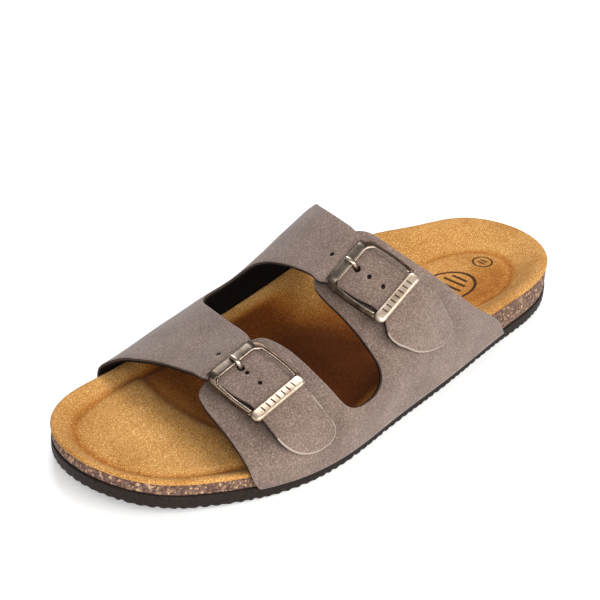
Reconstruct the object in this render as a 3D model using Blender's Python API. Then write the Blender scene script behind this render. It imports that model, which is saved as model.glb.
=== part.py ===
"""Cork footbed sandal with two buckled straps, left shoe.

All work is done in millimetres in a frame whose x runs from the middle of the sole
towards the toe, y towards the outer side of the foot and z up from the floor.  The
meshes are written in metres.

The upper is worked out from a last: a wall along the sole's outline up to the rim of
the footbed and, above it, an arched section whose height comes from the instep table.
Every leather piece is drawn flat, as x and the length along the arch from the crest,
and then laid on the last with its own thickness.
"""

import math

import bmesh
import bpy
import numpy as np
from mathutils import Matrix, Vector
from mathutils.geometry import delaunay_2d_cdt

MM = 0.001

# Sizes of the shoe, in millimetres.
SOLE_LENGTH = 262.0
BALL_WIDTH = 96.6
HEEL_REACH = 0.5 * SOLE_LENGTH
OUTSOLE_HEIGHT = 6.0
RIB_DEPTH = 0.9
RIB_PITCH = 4.8
TOE_SPRING = 6.6
SPRING_START = 0.75
LAYER_GAP = 0.3
LINER_THICKNESS = 1.6
LEATHER = 2.0
LEATHER_MARGIN = 1.0
MARGIN_WIDTH = 6.0
MARGIN_CORNER = 0.5
LAST_GAP = 0.3

# Outline of the sole: share of the length from the heel, and y in millimetres.
OUTLINE = (
    (0.000, -0.3), (0.030, 20.3), (0.120, 35.1), (0.250, 39.2), (0.420, 43.4),
    (0.580, 46.3), (0.700, 48.4), (0.800, 44.1), (0.890, 34.3), (0.960, 22.2),
    (1.000, -9.1), (0.965, -31.6), (0.900, -43.1), (0.800, -46.7), (0.700, -48.2),
    (0.580, -43.2), (0.420, -35.8), (0.250, -36.8), (0.120, -31.6), (0.030, -21.6),
)


def table(places, values):
    """Return a smooth, never overshooting function through the points of a table."""
    xs = np.asarray(places, float)
    ys = np.asarray(values, float)
    step = np.diff(xs)
    slope = np.diff(ys) / step
    tangent = np.zeros(len(xs))
    tangent[0] = slope[0]
    tangent[-1] = slope[-1]
    for k in range(1, len(xs) - 1):
        if slope[k - 1] * slope[k] > 0.0:
            w1 = 2.0 * step[k] + step[k - 1]
            w2 = step[k] + 2.0 * step[k - 1]
            tangent[k] = (w1 + w2) / (w1 / slope[k - 1] + w2 / slope[k])

    def at(x):
        x = np.clip(np.asarray(x, float), xs[0], xs[-1])
        k = np.clip(np.searchsorted(xs, x, side="right") - 1, 0, len(step) - 1)
        t = (x - xs[k]) / step[k]
        h00 = (1.0 + 2.0 * t) * (1.0 - t) ** 2
        h10 = t * (1.0 - t) ** 2
        h01 = t * t * (3.0 - 2.0 * t)
        h11 = t * t * (t - 1.0)
        return (h00 * ys[k] + h10 * step[k] * tangent[k]
                + h01 * ys[k + 1] + h11 * step[k] * tangent[k + 1])

    return at


def closed_spline(points, count):
    """Return count points of a smooth closed curve through the given points."""
    pts = np.asarray(points, float)
    n = len(pts)
    nxt = np.roll(pts, -1, axis=0)
    h = np.linalg.norm(nxt - pts, axis=1)
    matrix = np.zeros((n, n))
    right = np.zeros((n, 2))
    for k in range(n):
        before = h[k - 1]
        after = h[k]
        matrix[k, k - 1] += before
        matrix[k, k] += 2.0 * (before + after)
        matrix[k, (k + 1) % n] += after
        right[k] = 6.0 * ((nxt[k] - pts[k]) / after - (pts[k] - pts[k - 1]) / before)
    bend = np.linalg.solve(matrix, right)
    total = h.sum()
    start = np.concatenate([[0.0], np.cumsum(h)])
    out = []
    for s in np.linspace(0.0, total, count, endpoint=False):
        k = min(int(np.searchsorted(start, s, side="right") - 1), n - 1)
        a = start[k + 1] - s
        b = s - start[k]
        j = (k + 1) % n
        out.append(bend[k] * a ** 3 / (6 * h[k]) + bend[j] * b ** 3 / (6 * h[k])
                   + (pts[k] / h[k] - bend[k] * h[k] / 6) * a
                   + (pts[j] / h[k] - bend[j] * h[k] / 6) * b)
    return np.array(out)


OUTLINE_CURVE = closed_spline([(s * SOLE_LENGTH, y) for s, y in OUTLINE], 1440)
TIP_INDEX = int(np.argmax(OUTLINE_CURVE[:, 0]))
BACK_INDEX = int(np.argmin(OUTLINE_CURVE[:, 0]))
SOLE_BACK = OUTLINE_CURVE[BACK_INDEX, 0]
SOLE_TIP = OUTLINE_CURVE[TIP_INDEX, 0]


def side_run(first, last):
    """Return the outline's points from one index to another, wrapping round."""
    count = len(OUTLINE_CURVE)
    span = (last - first) % count
    return OUTLINE_CURVE[[(first + k) % count for k in range(span + 1)]]


OUTER_RUN = side_run(BACK_INDEX, TIP_INDEX)
INNER_RUN = side_run(TIP_INDEX, BACK_INDEX)[::-1]


def side_y(x, side):
    """Return y of the outline at x, on the outer (+1) or the inner (-1) side."""
    run = OUTER_RUN if side > 0 else INNER_RUN
    return float(np.interp(x, np.maximum.accumulate(run[:, 0]), run[:, 1]))


def spring(x):
    """Return how far the sole lifts off the floor at x."""
    share = (x / SOLE_LENGTH - SPRING_START) / (1.0 - SPRING_START)
    return TOE_SPRING * np.clip(share, 0.0, 1.0) ** 2


def outsole_top(x):
    """Return the height of the outsole's upper face."""
    return OUTSOLE_HEIGHT + spring(x)


# Rim of the footbed along both sides, heights above the floor without toe spring.
rim_outer = table([0, 30, 52, 90, 130, 165, 183, 236, 262],
                  [17.2, 18.6, 19.1, 19.8, 19.6, 16.0, 13.4, 12.4, 12.2])
rim_inner = table([0, 30, 60, 85, 105, 116, 129, 142, 152, 175, 236, 262],
                  [17.2, 18.6, 22.5, 26.5, 28.2, 26.6, 22.8, 18.5, 15.4, 13.4, 12.4, 12.2])

# The last: crest line, and the handles of its arched section on the two sides.
crest_height = table([0, 60, 95, 115, 128, 140, 155, 170, 183, 200, 216, 235, 262],
                     [60, 67, 69.6, 67.2, 62.7, 55.9, 47.6, 42.6, 39.2, 34.6, 30.7, 27.5, 25])
crest_y = table([0, 110, 150, 180, 216, 262], [-3, -3, -2, 0, 1.5, 1.5])
outer_up = table([0, 120, 160, 190, 216, 262], [.56, .56, .56, .56, .56, .56])
outer_over = table([0, 120, 160, 190, 216, 262], [.56, .56, .56, .56, .56, .56])
inner_up = table([0, 115, 126, 148, 163, 180, 200, 216, 262],
                 [.56, .55, .48, .40, .39, .26, .20, .18, .18])
inner_over = table([0, 115, 150, 180, 216, 262], [.56, .56, .56, .60, .60, .60])
ARCH_STEPS = 44
SECTION_CACHE = {}


def rim_height(x, side):
    """Return the height of the rim at x with the toe spring."""
    rim = rim_outer if side > 0 else rim_inner
    return float(rim(x)) + float(spring(x))


def last_section(x, side):
    """Return one half of the last's section: y and z from the crest to the margin."""
    key = (round(float(x), 4), side)
    if key in SECTION_CACHE:
        return SECTION_CACHE[key]
    wall_y = side_y(x, side) + side * LAST_GAP
    wall_top = rim_height(x, side) + 0.4
    top = float(crest_height(x))
    middle = float(crest_y(x))
    up = float(outer_up(x) if side > 0 else inner_up(x))
    over = float(outer_over(x) if side > 0 else inner_over(x))
    t = np.linspace(0.0, 1.0, ARCH_STEPS)
    hand = (
        (middle, top),
        (middle + over * (wall_y - middle), top),
        (wall_y, wall_top + up * (top - wall_top)),
        (wall_y, wall_top),
    )
    weight = ((1 - t) ** 3, 3 * (1 - t) ** 2 * t, 3 * (1 - t) * t * t, t ** 3)
    arch_y = sum(w * p[0] for w, p in zip(weight, hand))
    arch_z = sum(w * p[1] for w, p in zip(weight, hand))
    low = float(outsole_top(x)) + LAYER_GAP + LEATHER_MARGIN
    ys = list(arch_y)
    zs = list(arch_z)
    ys.append(wall_y)
    zs.append(low + MARGIN_CORNER)
    for k in range(1, 5):
        angle = k / 4 * math.pi / 2
        ys.append(wall_y - side * MARGIN_CORNER * (1 - math.cos(angle)))
        zs.append(low + MARGIN_CORNER * (1 - math.sin(angle)))
    ys.append(wall_y - side * (MARGIN_CORNER + MARGIN_WIDTH))
    zs.append(low)
    line = np.column_stack([ys, zs])
    run = np.concatenate([[0.0], np.cumsum(np.linalg.norm(np.diff(line, axis=0), axis=1))])
    base = run[ARCH_STEPS]
    SECTION_CACHE[key] = (line, run, base)
    return SECTION_CACHE[key]


def wall_base(x, side):
    """Return the arc length from the crest to the foot of the wall."""
    return last_section(x, side)[2]


def last_point(x, b):
    """Return the last's point at x and arc length b, positive on the outer side."""
    side = 1 if b >= 0 else -1
    line, run, _ = last_section(x, side)
    s = abs(b)
    return np.array([x, np.interp(s, run, line[:, 0]), np.interp(s, run, line[:, 1])])


def last_normal(x, b):
    """Return the last's outward normal."""
    dx = last_point(x + 0.6, b) - last_point(x - 0.6, b)
    db = last_point(x, b + 0.35) - last_point(x, b - 0.35)
    normal = np.cross(dx, db)
    return normal / np.linalg.norm(normal)


def over_last(x, b, lift):
    """Return the point lift millimetres above the last."""
    return last_point(x, b) + lift * last_normal(x, b)


# Heights of the footbed's floor along the middle, and the widths of the slopes that
# lead from the rim down to it, both read along x.
footbed_floor = table([0, 10, 25, 45, 70, 95, 125, 150, 168, 185, 198, 212, 225, 240, 262],
                      [16.2, 14.2, 12.3, 11.6, 12.4, 14.0, 15.2, 14.9, 13.2, 10.9, 10.2,
                       10.9, 10.3, 10.0, 10.0])
slope_outer = table([0, 40, 110, 160, 190, 230, 262], [25, 25, 24, 18, 11, 11, 12])
slope_inner = table([0, 40, 75, 105, 140, 170, 195, 230, 262], [25, 26, 32, 36, 30, 16, 11, 12, 12])
RIM_FLAT = 1.8
CREASE_DEPTH = 0.5
CREASE_WIDTH = 3.0


def smooth_step(t):
    """Return the usual smooth ramp from 0 to 1."""
    t = min(max(t, 0.0), 1.0)
    return t * t * (3.0 - 2.0 * t)


def footbed_height(x, y):
    """Return the height of the footbed's upper face above the floor."""
    low = side_y(x, -1)
    high = side_y(x, 1)
    share = min(max((y - low) / max(high - low, 0.001), 0.0), 1.0)
    gap = OUTLINE_CURVE - np.array([x, y])
    inside = float(np.sqrt((gap * gap).sum(axis=1)).min())
    blend = smooth_step(share)
    rim = float(rim_inner(x)) * (1.0 - blend) + float(rim_outer(x)) * blend
    width = float(slope_inner(x)) * (1.0 - blend) + float(slope_outer(x)) * blend
    floor = min(float(footbed_floor(x)), rim - 0.8)
    fall = smooth_step((inside - RIM_FLAT) / (width - RIM_FLAT))
    height = rim + (floor - rim) * fall
    if x > 150.0:
        crease = math.exp(-((inside - width) / CREASE_WIDTH) ** 2)
        height -= CREASE_DEPTH * crease * smooth_step((x - 150.0) / 40.0)
    return height + float(spring(x))


def new_object(name, points, faces, smooth=True):
    """Make a mesh object from points in millimetres and its faces."""
    mesh = bpy.data.meshes.new(name)
    metres = [((p[0] - HEEL_REACH) * MM, p[1] * MM, p[2] * MM) for p in points]
    mesh.from_pydata(metres, [], [tuple(f) for f in faces])
    work = bmesh.new()
    work.from_mesh(mesh)
    bmesh.ops.recalc_face_normals(work, faces=work.faces)
    if work.calc_volume(signed=True) < 0.0:
        bmesh.ops.reverse_faces(work, faces=work.faces)
    bmesh.ops.triangulate(work, faces=work.faces)
    for face in work.faces:
        face.smooth = smooth
    work.to_mesh(mesh)
    work.free()
    mesh.validate()
    obj = bpy.data.objects.new(name, mesh)
    bpy.context.scene.collection.objects.link(obj)
    return obj


def paint(obj, slot, colour, roughness, metallic=0.0):
    """Give an object its own plain material."""
    material = bpy.data.materials.new(slot)
    material.use_nodes = True
    shader = material.node_tree.nodes["Principled BSDF"]
    shader.inputs["Base Color"].default_value = (*colour, 1.0)
    shader.inputs["Roughness"].default_value = roughness
    shader.inputs["Metallic"].default_value = metallic
    obj.data.materials.clear()
    obj.data.materials.append(material)


def loft(name, rings, smooth=True):
    """Make a closed solid from equal rings of points with a flat cap at both ends."""
    count = len(rings[0])
    points = [p for ring in rings for p in ring]
    faces = []
    for r in range(len(rings) - 1):
        for k in range(count):
            a = r * count + k
            b = r * count + (k + 1) % count
            faces.append((a, b, b + count, a + count))
    faces.append(tuple(reversed(range(count))))
    last = (len(rings) - 1) * count
    faces.append(tuple(range(last, last + count)))
    return new_object(name, points, faces, smooth)


def stations(count, extra=()):
    """Return places along x, closer together at the round ends of the sole."""
    t = np.linspace(0.0, 1.0, count)
    even = 0.5 - 0.5 * np.cos(math.pi * t)
    mixed = 0.62 * even + 0.38 * t
    start = SOLE_BACK + 0.12
    end = SOLE_TIP - 0.12
    places = start + (end - start) * mixed
    close = [start, start + 0.5, start + 1.4, end - 1.4, end - 0.5, end]
    merged = sorted(set(np.round(places, 3)) | set(np.round(close, 3)) | set(extra))
    kept = [merged[0]]
    fixed = set(extra)
    for x in merged[1:]:
        if x - kept[-1] > 0.34 or x in fixed:
            kept.append(x)
    return kept


PAD_PLACES = (34.0, 131.0, 184.0)
PAD_HALF = 5.5


def tread_height(x):
    """Return the depth of the groove in the tread at x; the pads stay plain."""
    for place in PAD_PLACES:
        if abs(x - place) < PAD_HALF:
            return 0.0
    phase = (x / RIB_PITCH) % 1.0
    return 0.0 if phase < 0.5 else RIB_DEPTH


def outsole_stations():
    """Return places along x with four to each rib of the tread."""
    places = []
    start = SOLE_BACK + 0.12
    end = SOLE_TIP - 0.12
    first = int(math.floor(start / RIB_PITCH)) - 1
    last = int(math.ceil(end / RIB_PITCH)) + 1
    for k in range(first, last):
        for share in (0.08, 0.42, 0.58, 0.92):
            places.append(((k + share) * RIB_PITCH, tread_height((k + share) * RIB_PITCH)))
    inner = [p for p in places if start + 0.4 < p[0] < end - 0.4]
    return [(start, RIB_DEPTH), *inner, (end, RIB_DEPTH)]


def build_outsole():
    """Build the dark outsole with a ribbed tread and three plain resting bars."""
    rings = []
    for x, groove in outsole_stations():
        low = float(spring(x)) + groove
        top = float(outsole_top(x))
        left = side_y(x, 1)
        right = side_y(x, -1)
        tuck = min(0.5, 0.2 * (left - right))
        rings.append([
            (x, right + tuck, low), (x, right, float(spring(x)) + 1.6), (x, right, top),
            (x, left, top), (x, left, float(spring(x)) + 1.6), (x, left - tuck, low),
        ])
    obj = loft("outsole", rings, smooth=False)
    paint(obj, "outsole_rubber", (0.016, 0.013, 0.012), 0.62)
    return obj


COLUMNS = (0.0, 0.03, 0.09, 0.17, 0.27, 0.385, 0.5, 0.615, 0.73, 0.83, 0.91, 0.97, 1.0)
LASTED_OUTER = (66.4, 220.6)
LASTED_INNER = (70.6, 216.4)
LASTED_DEPTH = 7.6


def bed_stations():
    """Return the places along x that the cork and the liner share."""
    extra = []
    for edge in (*LASTED_OUTER, *LASTED_INNER):
        extra.extend((round(edge - 0.2, 3), round(edge + 0.2, 3)))
    return stations(31, extra)


def bed_top(x):
    """Return the points of the footbed's upper face across the sole at x."""
    low = side_y(x, -1)
    high = side_y(x, 1)
    return [(x, low + (high - low) * c, footbed_height(x, low + (high - low) * c))
            for c in COLUMNS]


def cork_seat(x, side):
    """Return the cork's underside by its edge: higher where the upper is lasted under."""
    zone = LASTED_OUTER if side > 0 else LASTED_INNER
    seat = float(outsole_top(x)) + LAYER_GAP
    if zone[0] < x < zone[1]:
        seat += LEATHER_MARGIN + LAYER_GAP
    return seat


def build_cork():
    """Build the cork midsole, stepped below where the upper's margins run in."""
    rings = []
    for x in bed_stations():
        top = bed_top(x)
        left = side_y(x, 1)
        right = side_y(x, -1)
        depth = min(LASTED_DEPTH, 0.3 * (left - right))
        middle = float(outsole_top(x)) + LAYER_GAP
        drop = LINER_THICKNESS + LAYER_GAP
        ring = [(x, p[1], p[2] - drop) for p in top]
        ring.extend([
            (x, left, cork_seat(x, 1)), (x, left - depth, cork_seat(x, 1)),
            (x, left - depth - 0.1, middle),
            (x, right + depth + 0.1, middle), (x, right + depth, cork_seat(x, -1)),
            (x, right, cork_seat(x, -1)),
        ])
        rings.append(ring)
    obj = loft("cork_midsole", rings)
    paint(obj, "cork", (0.28, 0.17, 0.12), 0.9)
    return obj


def build_liner():
    """Build the suede liner that covers the whole footbed and rolls over its rim."""
    rings = []
    for x in bed_stations():
        top = bed_top(x)
        left = side_y(x, 1)
        right = side_y(x, -1)
        reach = min(0.5, 0.1 * (left - right))
        inner_rim = top[0][2]
        outer_rim = top[-1][2]
        ring = [(x, right, inner_rim - LINER_THICKNESS), (x, right, inner_rim - 0.7),
                (x, right + reach, inner_rim - 0.1)]
        ring.extend(top[1:-1])
        ring.extend([(x, left - reach, outer_rim - 0.1), (x, left, outer_rim - 0.7),
                     (x, left, outer_rim - LINER_THICKNESS)])
        ring.extend([(x, p[1], p[2] - LINER_THICKNESS) for p in reversed(top[1:-1])])
        rings.append(ring)
    obj = loft("footbed_liner", rings)
    paint(obj, "liner_suede", (0.50, 0.25, 0.07), 0.92)
    return obj


class Buckle:
    """A place for a buckle: its middle and its axes from far bar to near bar."""

    def __init__(self, middle, along, across):
        self.middle = np.array(middle)
        self.v = np.array(along) / np.linalg.norm(along)
        across = np.array(across)
        across = across - self.v * (across @ self.v)
        self.u = across / np.linalg.norm(across)
        self.n = np.cross(self.v, self.u)

    def point(self, u, v, n):
        """Return the point at local u, v and n."""
        return self.middle + u * self.u + v * self.v + n * self.n

    def local(self, point):
        """Return local u, v and n of a point."""
        away = np.asarray(point) - self.middle
        return away @ self.u, away @ self.v, away @ self.n


FRONT_BUCKLE = Buckle((205.80, 25.75, 39.45), (0.9570, -0.0660, -0.2824), (-0.0010, 0.9727, -0.2320))
REAR_BUCKLE = Buckle((143.83, 27.95, 56.71), (0.8876, -0.0206, -0.4602), (-0.1542, 0.9281, -0.3390))

# Sizes of a buckle, in millimetres.
FRAME_WIDTH = 23.4
FRAME_HEIGHT = 23.1
FAR_BAR = (3.2, 1.4)
NEAR_BAR = (4.2, 1.6)
RAIL = (1.7, 1.7)
RAIL_BOW = 0.8
HINGE_RADIUS = 0.7
HINGE_U = 11.0
HINGE_N = -5.0
STRAP_HALF = 10.5
STRAP_MIDDLE = -0.3
PRONG_V = -0.6

# Height of the strap's inner face over the plane of the buckle, read along u.
strap_profile = table([-30, -20, -15, -11.6, -7, 0, 7, 11.6, 15, 20, 30],
                      [-8.6, -4.9, -3.55, -3.05, -2.85, -2.55, -2.75, -3.1, -3.7, -5.2, -9.4])


def strap_weight(u):
    """Return how much the buckle, not the last, sets the strap's height at u."""
    if u < 0.0:
        return smooth_step((u + 30.0) / 16.0)
    return smooth_step((29.0 - u) / 15.0)


def strap_lift(u):
    """Return the strap's own height over the last away from the buckle."""
    return (LEATHER + 0.35) * smooth_step((u + 44.0) / 26.0)


def inner_quarter_point(x, b):
    """Return the inner face of the inner quarter and its straps."""
    base = last_point(x, b)
    if b < -32.0:
        return base
    near = 0.5 * (smooth_step((x - 164.0) / 12.0) + smooth_step((x - 158.0) / 12.0))
    out = np.zeros(3)
    for buckle, share in ((REAR_BUCKLE, 1.0 - near), (FRONT_BUCKLE, near)):
        if share <= 0.0:
            continue
        u, _, _ = buckle.local(base)
        point = over_last(x, b, strap_lift(u))
        u, _, n = buckle.local(point)
        weight = strap_weight(u) * smooth_step((b + 32.0) / 12.0)
        point = point + buckle.n * weight * (float(strap_profile(u)) - n)
        out = out + share * point
    return out


def outer_quarter_point(x, b):
    """Return the inner face of the outer quarter, which lies on the last."""
    return last_point(x, b)


def surface_normal(place, x, b):
    """Return the outward normal of a laid out face."""
    dx = place(x + 0.6, b) - place(x - 0.6, b)
    db = place(x, b + 0.35) - place(x, b - 0.35)
    normal = np.cross(dx, db)
    return normal / np.linalg.norm(normal)


def smooth_run(points, step=0.5):
    """Return a dense smooth open curve through the points."""
    pts = [np.array(p, float) for p in points]
    pts = [2 * pts[0] - pts[1], *pts, 2 * pts[-1] - pts[-2]]
    out = []
    for k in range(1, len(pts) - 2):
        p0, p1, p2, p3 = pts[k - 1:k + 3]
        t0 = 0.0
        t1 = t0 + math.sqrt(np.linalg.norm(p1 - p0))
        t2 = t1 + math.sqrt(np.linalg.norm(p2 - p1))
        t3 = t2 + math.sqrt(np.linalg.norm(p3 - p2))
        count = max(2, int(np.linalg.norm(p2 - p1) / step))
        for j in range(count):
            t = t1 + (t2 - t1) * j / count
            a1 = (t1 - t) / (t1 - t0) * p0 + (t - t0) / (t1 - t0) * p1
            a2 = (t2 - t) / (t2 - t1) * p1 + (t - t1) / (t2 - t1) * p2
            a3 = (t3 - t) / (t3 - t2) * p2 + (t - t2) / (t3 - t2) * p3
            b1 = (t2 - t) / (t2 - t0) * a1 + (t - t0) / (t2 - t0) * a2
            b2 = (t3 - t) / (t3 - t1) * a2 + (t - t1) / (t3 - t1) * a3
            out.append((t2 - t) / (t2 - t1) * b1 + (t - t1) / (t2 - t1) * b2)
    out.append(pts[-2])
    return out


def thin_out(dense, longest=5.2, turn=0.24, shortest=1.1):
    """Keep the points of a dense curve that its length and its bends need."""
    kept = [dense[0]]
    heading = None
    for k in range(1, len(dense) - 1):
        step = dense[k] - kept[-1]
        length = np.linalg.norm(step)
        now = math.atan2(*(dense[k + 1] - dense[k])[::-1])
        if heading is None:
            heading = now
        bend = abs((now - heading + math.pi) % (2 * math.pi) - math.pi)
        if length > longest or (bend > turn and length > shortest):
            kept.append(dense[k])
            heading = now
    if np.linalg.norm(dense[-1] - kept[-1]) < 0.8 * shortest:
        kept.pop()
    kept.append(dense[-1])
    return kept


def edge_points(dense, side):
    """Thin a dense edge out, keeping the two points where it crosses the wall's top."""
    over = [k for k, p in enumerate(dense)
            if side * p[1] < last_section(p[0], side)[1][ARCH_STEPS - 1]]
    first = over[0]
    last = over[-1]
    return [*thin_out(dense[:first + 1])[:-1], *thin_out(dense[first:last + 1])[:-1],
            *thin_out(dense[last:])]


def inside_polygon(point, polygon):
    """Return whether a point lies inside a closed polygon."""
    x, y = point
    hit = False
    for k in range(len(polygon)):
        ax, ay = polygon[k - 1]
        bx, by = polygon[k]
        if (ay > y) != (by > y) and x < (bx - ax) * (y - ay) / (by - ay) + ax:
            hit = not hit
    return hit


def distance_to_polygon(point, polygon):
    """Return the distance from a point to the nearest side of a polygon."""
    p = np.array(point)
    best = 1e9
    for k in range(len(polygon)):
        a = np.array(polygon[k - 1])
        b = np.array(polygon[k])
        ab = b - a
        t = np.clip((p - a) @ ab / max(ab @ ab, 1e-12), 0.0, 1.0)
        best = min(best, float(np.linalg.norm(p - a - t * ab)))
    return best


def ring_hole(x, b, radius_x, radius_b, count=8):
    """Return the outline of a punched hole in the flat piece."""
    return [(x + radius_x * math.cos(2 * math.pi * (k + 0.5) / count),
             b + radius_b * math.sin(2 * math.pi * (k + 0.5) / count)) for k in range(count)]


def slot_hole(x, b):
    """Return the outline of the longer hole that the prong stands in."""
    return [(x + dx, b + db) for dx, db in ((1.4, -1.0), (1.4, 1.0), (1.0, 1.9), (-1.0, 1.9),
                                            (-1.4, 1.0), (-1.4, -1.0), (-1.0, -1.9), (1.0, -1.9))]


def leather_piece(name, side, free_edge, holes, place, spacing=5.6):
    """Lay a flat leather piece on the last and give it its thickness.

    free_edge runs from the foot of the wall at the front, round all straps, back to the
    foot of the wall at the rear.  Below the foot of the wall the piece turns in under
    the cork as a thinner margin.
    """
    edge = [tuple(p) for p in edge_points(smooth_run(free_edge), side)]
    front_x = edge[0][0]
    rear_x = edge[-1][0]
    count = int((front_x - rear_x) / 5.0)
    foot = []
    for k in range(1, count):
        x = rear_x + (front_x - rear_x) * k / count
        foot.append((x, side * wall_base(x, side)))
    outline = edge + foot
    flat = list(outline)
    loops = [list(range(len(outline)))]
    for hole in holes:
        loops.append(list(range(len(flat), len(flat) + len(hole))))
        flat.extend(hole)
    low_b = min(p[1] for p in outline)
    high_b = max(p[1] for p in outline)
    for k in range(-1, count + 3):
        x = rear_x + (front_x - rear_x) * (k - 0.5) / count
        spot = (x, side * last_section(x, side)[1][ARCH_STEPS - 1])
        if inside_polygon(spot, outline) and distance_to_polygon(spot, outline) > 1.0:
            flat.append(spot)
    rows = int((high_b - low_b) / (spacing * 0.87)) + 1
    for r in range(rows):
        b = low_b + (r + 0.5) * spacing * 0.87
        x = rear_x - 12.0 + (0.5 * spacing if r % 2 else 0.0)
        while x < front_x + 12.0:
            from_rim = abs(b - side * last_section(x, side)[1][ARCH_STEPS - 1])
            clear = inside_polygon((x, b), outline) and from_rim > 0.35 * spacing
            clear = clear and distance_to_polygon((x, b), outline) > 0.5 * spacing
            for hole in holes:
                clear = clear and not inside_polygon((x, b), hole)
                clear = clear and distance_to_polygon((x, b), hole) > 0.3 * spacing
            if clear:
                flat.append((x, b))
            x += spacing
    edges = []
    for loop in loops:
        edges.extend((loop[k - 1], loop[k]) for k in range(len(loop)))
    found = delaunay_2d_cdt([Vector(p) for p in flat], edges, [], 0, 1e-6)
    spots = [tuple(v) for v in found[0]]
    if len(spots) != len(flat):
        raise ValueError("the flat piece " + name + " crosses itself")
    order = [source[0] for source in found[3]]
    triangles = []
    for face in found[2]:
        middle = tuple(sum(spots[i][k] for i in face) / 3.0 for k in range(2))
        if inside_polygon(middle, outline) and not any(inside_polygon(middle, h) for h in holes):
            triangles.append(tuple(order[i] for i in face))
    inner = []
    outer = []
    for x, b in flat:
        point = place(x, b)
        inner.append(point)
        outer.append(point + LEATHER * surface_normal(place, x, b))
    base_ids = [len(edge) - 1, *range(len(edge), len(edge) + len(foot)), 0]
    corner = MARGIN_CORNER * math.pi / 2
    margin_rows = [(corner * 0.5, 0.5 * (LEATHER + LEATHER_MARGIN)), (corner, LEATHER_MARGIN),
                   (corner + MARGIN_WIDTH - 0.1, LEATHER_MARGIN)]
    strips = [base_ids]
    total = len(flat)
    for reach, thickness in margin_rows:
        strip = []
        for i in base_ids:
            x = flat[i][0]
            line, run, base = last_section(x, side)
            s = base + reach
            y = np.interp(s, run, line[:, 0])
            z = np.interp(s, run, line[:, 1])
            angle = min(reach / corner, 1.0) * math.pi / 2
            inner.append(np.array([x, y, z]))
            outer.append(np.array([x, y + side * thickness * math.cos(angle),
                                   z - thickness * math.sin(angle)]))
            strip.append(total)
            total += 1
        strips.append(strip)
    for low, high in zip(strips, strips[1:]):
        for k in range(len(low) - 1):
            quad = (low[k], low[k + 1], high[k + 1], high[k])
            triangles.append(quad if side > 0 else quad[::-1])
    faces = []
    count_all = len(inner)
    used = {}
    for face in triangles:
        faces.append(tuple(face))
        faces.append(tuple(i + count_all for i in reversed(face)))
        for k in range(len(face)):
            a = face[k]
            b = face[(k + 1) % len(face)]
            used[(a, b)] = used.get((a, b), 0) + 1
    for a, b in list(used):
        if (b, a) not in used:
            faces.append((b, a, a + count_all, b + count_all))
    return new_object(name, inner + outer, faces)


def foot_at(x, side):
    """Return the flat point at the foot of the wall at x."""
    return (x, side * wall_base(x, side))


def buckle_flat(buckle, u, v, place=inner_quarter_point):
    """Return the flat point that is laid out at local u and v of a buckle."""
    x = buckle.middle[0] + u * buckle.u[0] + v * buckle.v[0]
    b = 24.0
    for _ in range(30):
        here = buckle.local(place(x, b))
        ahead = buckle.local(place(x, b + 0.5))
        b += np.clip((u - here[0]) / max((ahead[0] - here[0]) / 0.5, 0.3), -5, 5)
        here = buckle.local(place(x, b))
        ahead = buckle.local(place(x + 0.5, b))
        x += np.clip((v - here[1]) / max((ahead[1] - here[1]) / 0.5, 0.3), -5, 5)
    return (x, b)


def build_outer_quarter():
    """Build the outer quarter: one piece with two arms and the cut between them."""
    edge = [
        foot_at(219.4, 1), (221.0, 49.2), (223.9, 38.0), (223.4, 26.1), (221.0, 14.0),
        (218.0, 8.4), (213.0, 6.2), (205.0, 5.6), (193.0, 5.6), (186.6, 6.4), (183.4, 9.0),
        (182.0, 14.0), (181.4, 20.7), (181.2, 36.0), (179.2, 48.2), (176.7, 51.4),
        (173.1, 53.4), (168.7, 54.6), (164.6, 55.2), (160.8, 54.7), (157.8, 52.6),
        (156.6, 48.7), (156.7, 42.1), (156.4, 33.2), (155.9, 24.9), (155.1, 16.7),
        (152.9, 9.6), (149.0, 6.8), (143.0, 6.2), (137.0, 6.2), (131.4, 6.8), (127.4, 9.0),
        (125.0, 13.2), (123.9, 20.0), (122.4, 27.6), (116.0, 40.8), (98.5, 61.0),
        (73.2, 77.3), foot_at(67.4, 1),
    ]
    obj = leather_piece("upper_outer", 1, edge, [], outer_quarter_point)
    paint(obj, "upper_nubuck_outer", (0.20, 0.165, 0.15), 0.85)
    return obj


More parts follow.
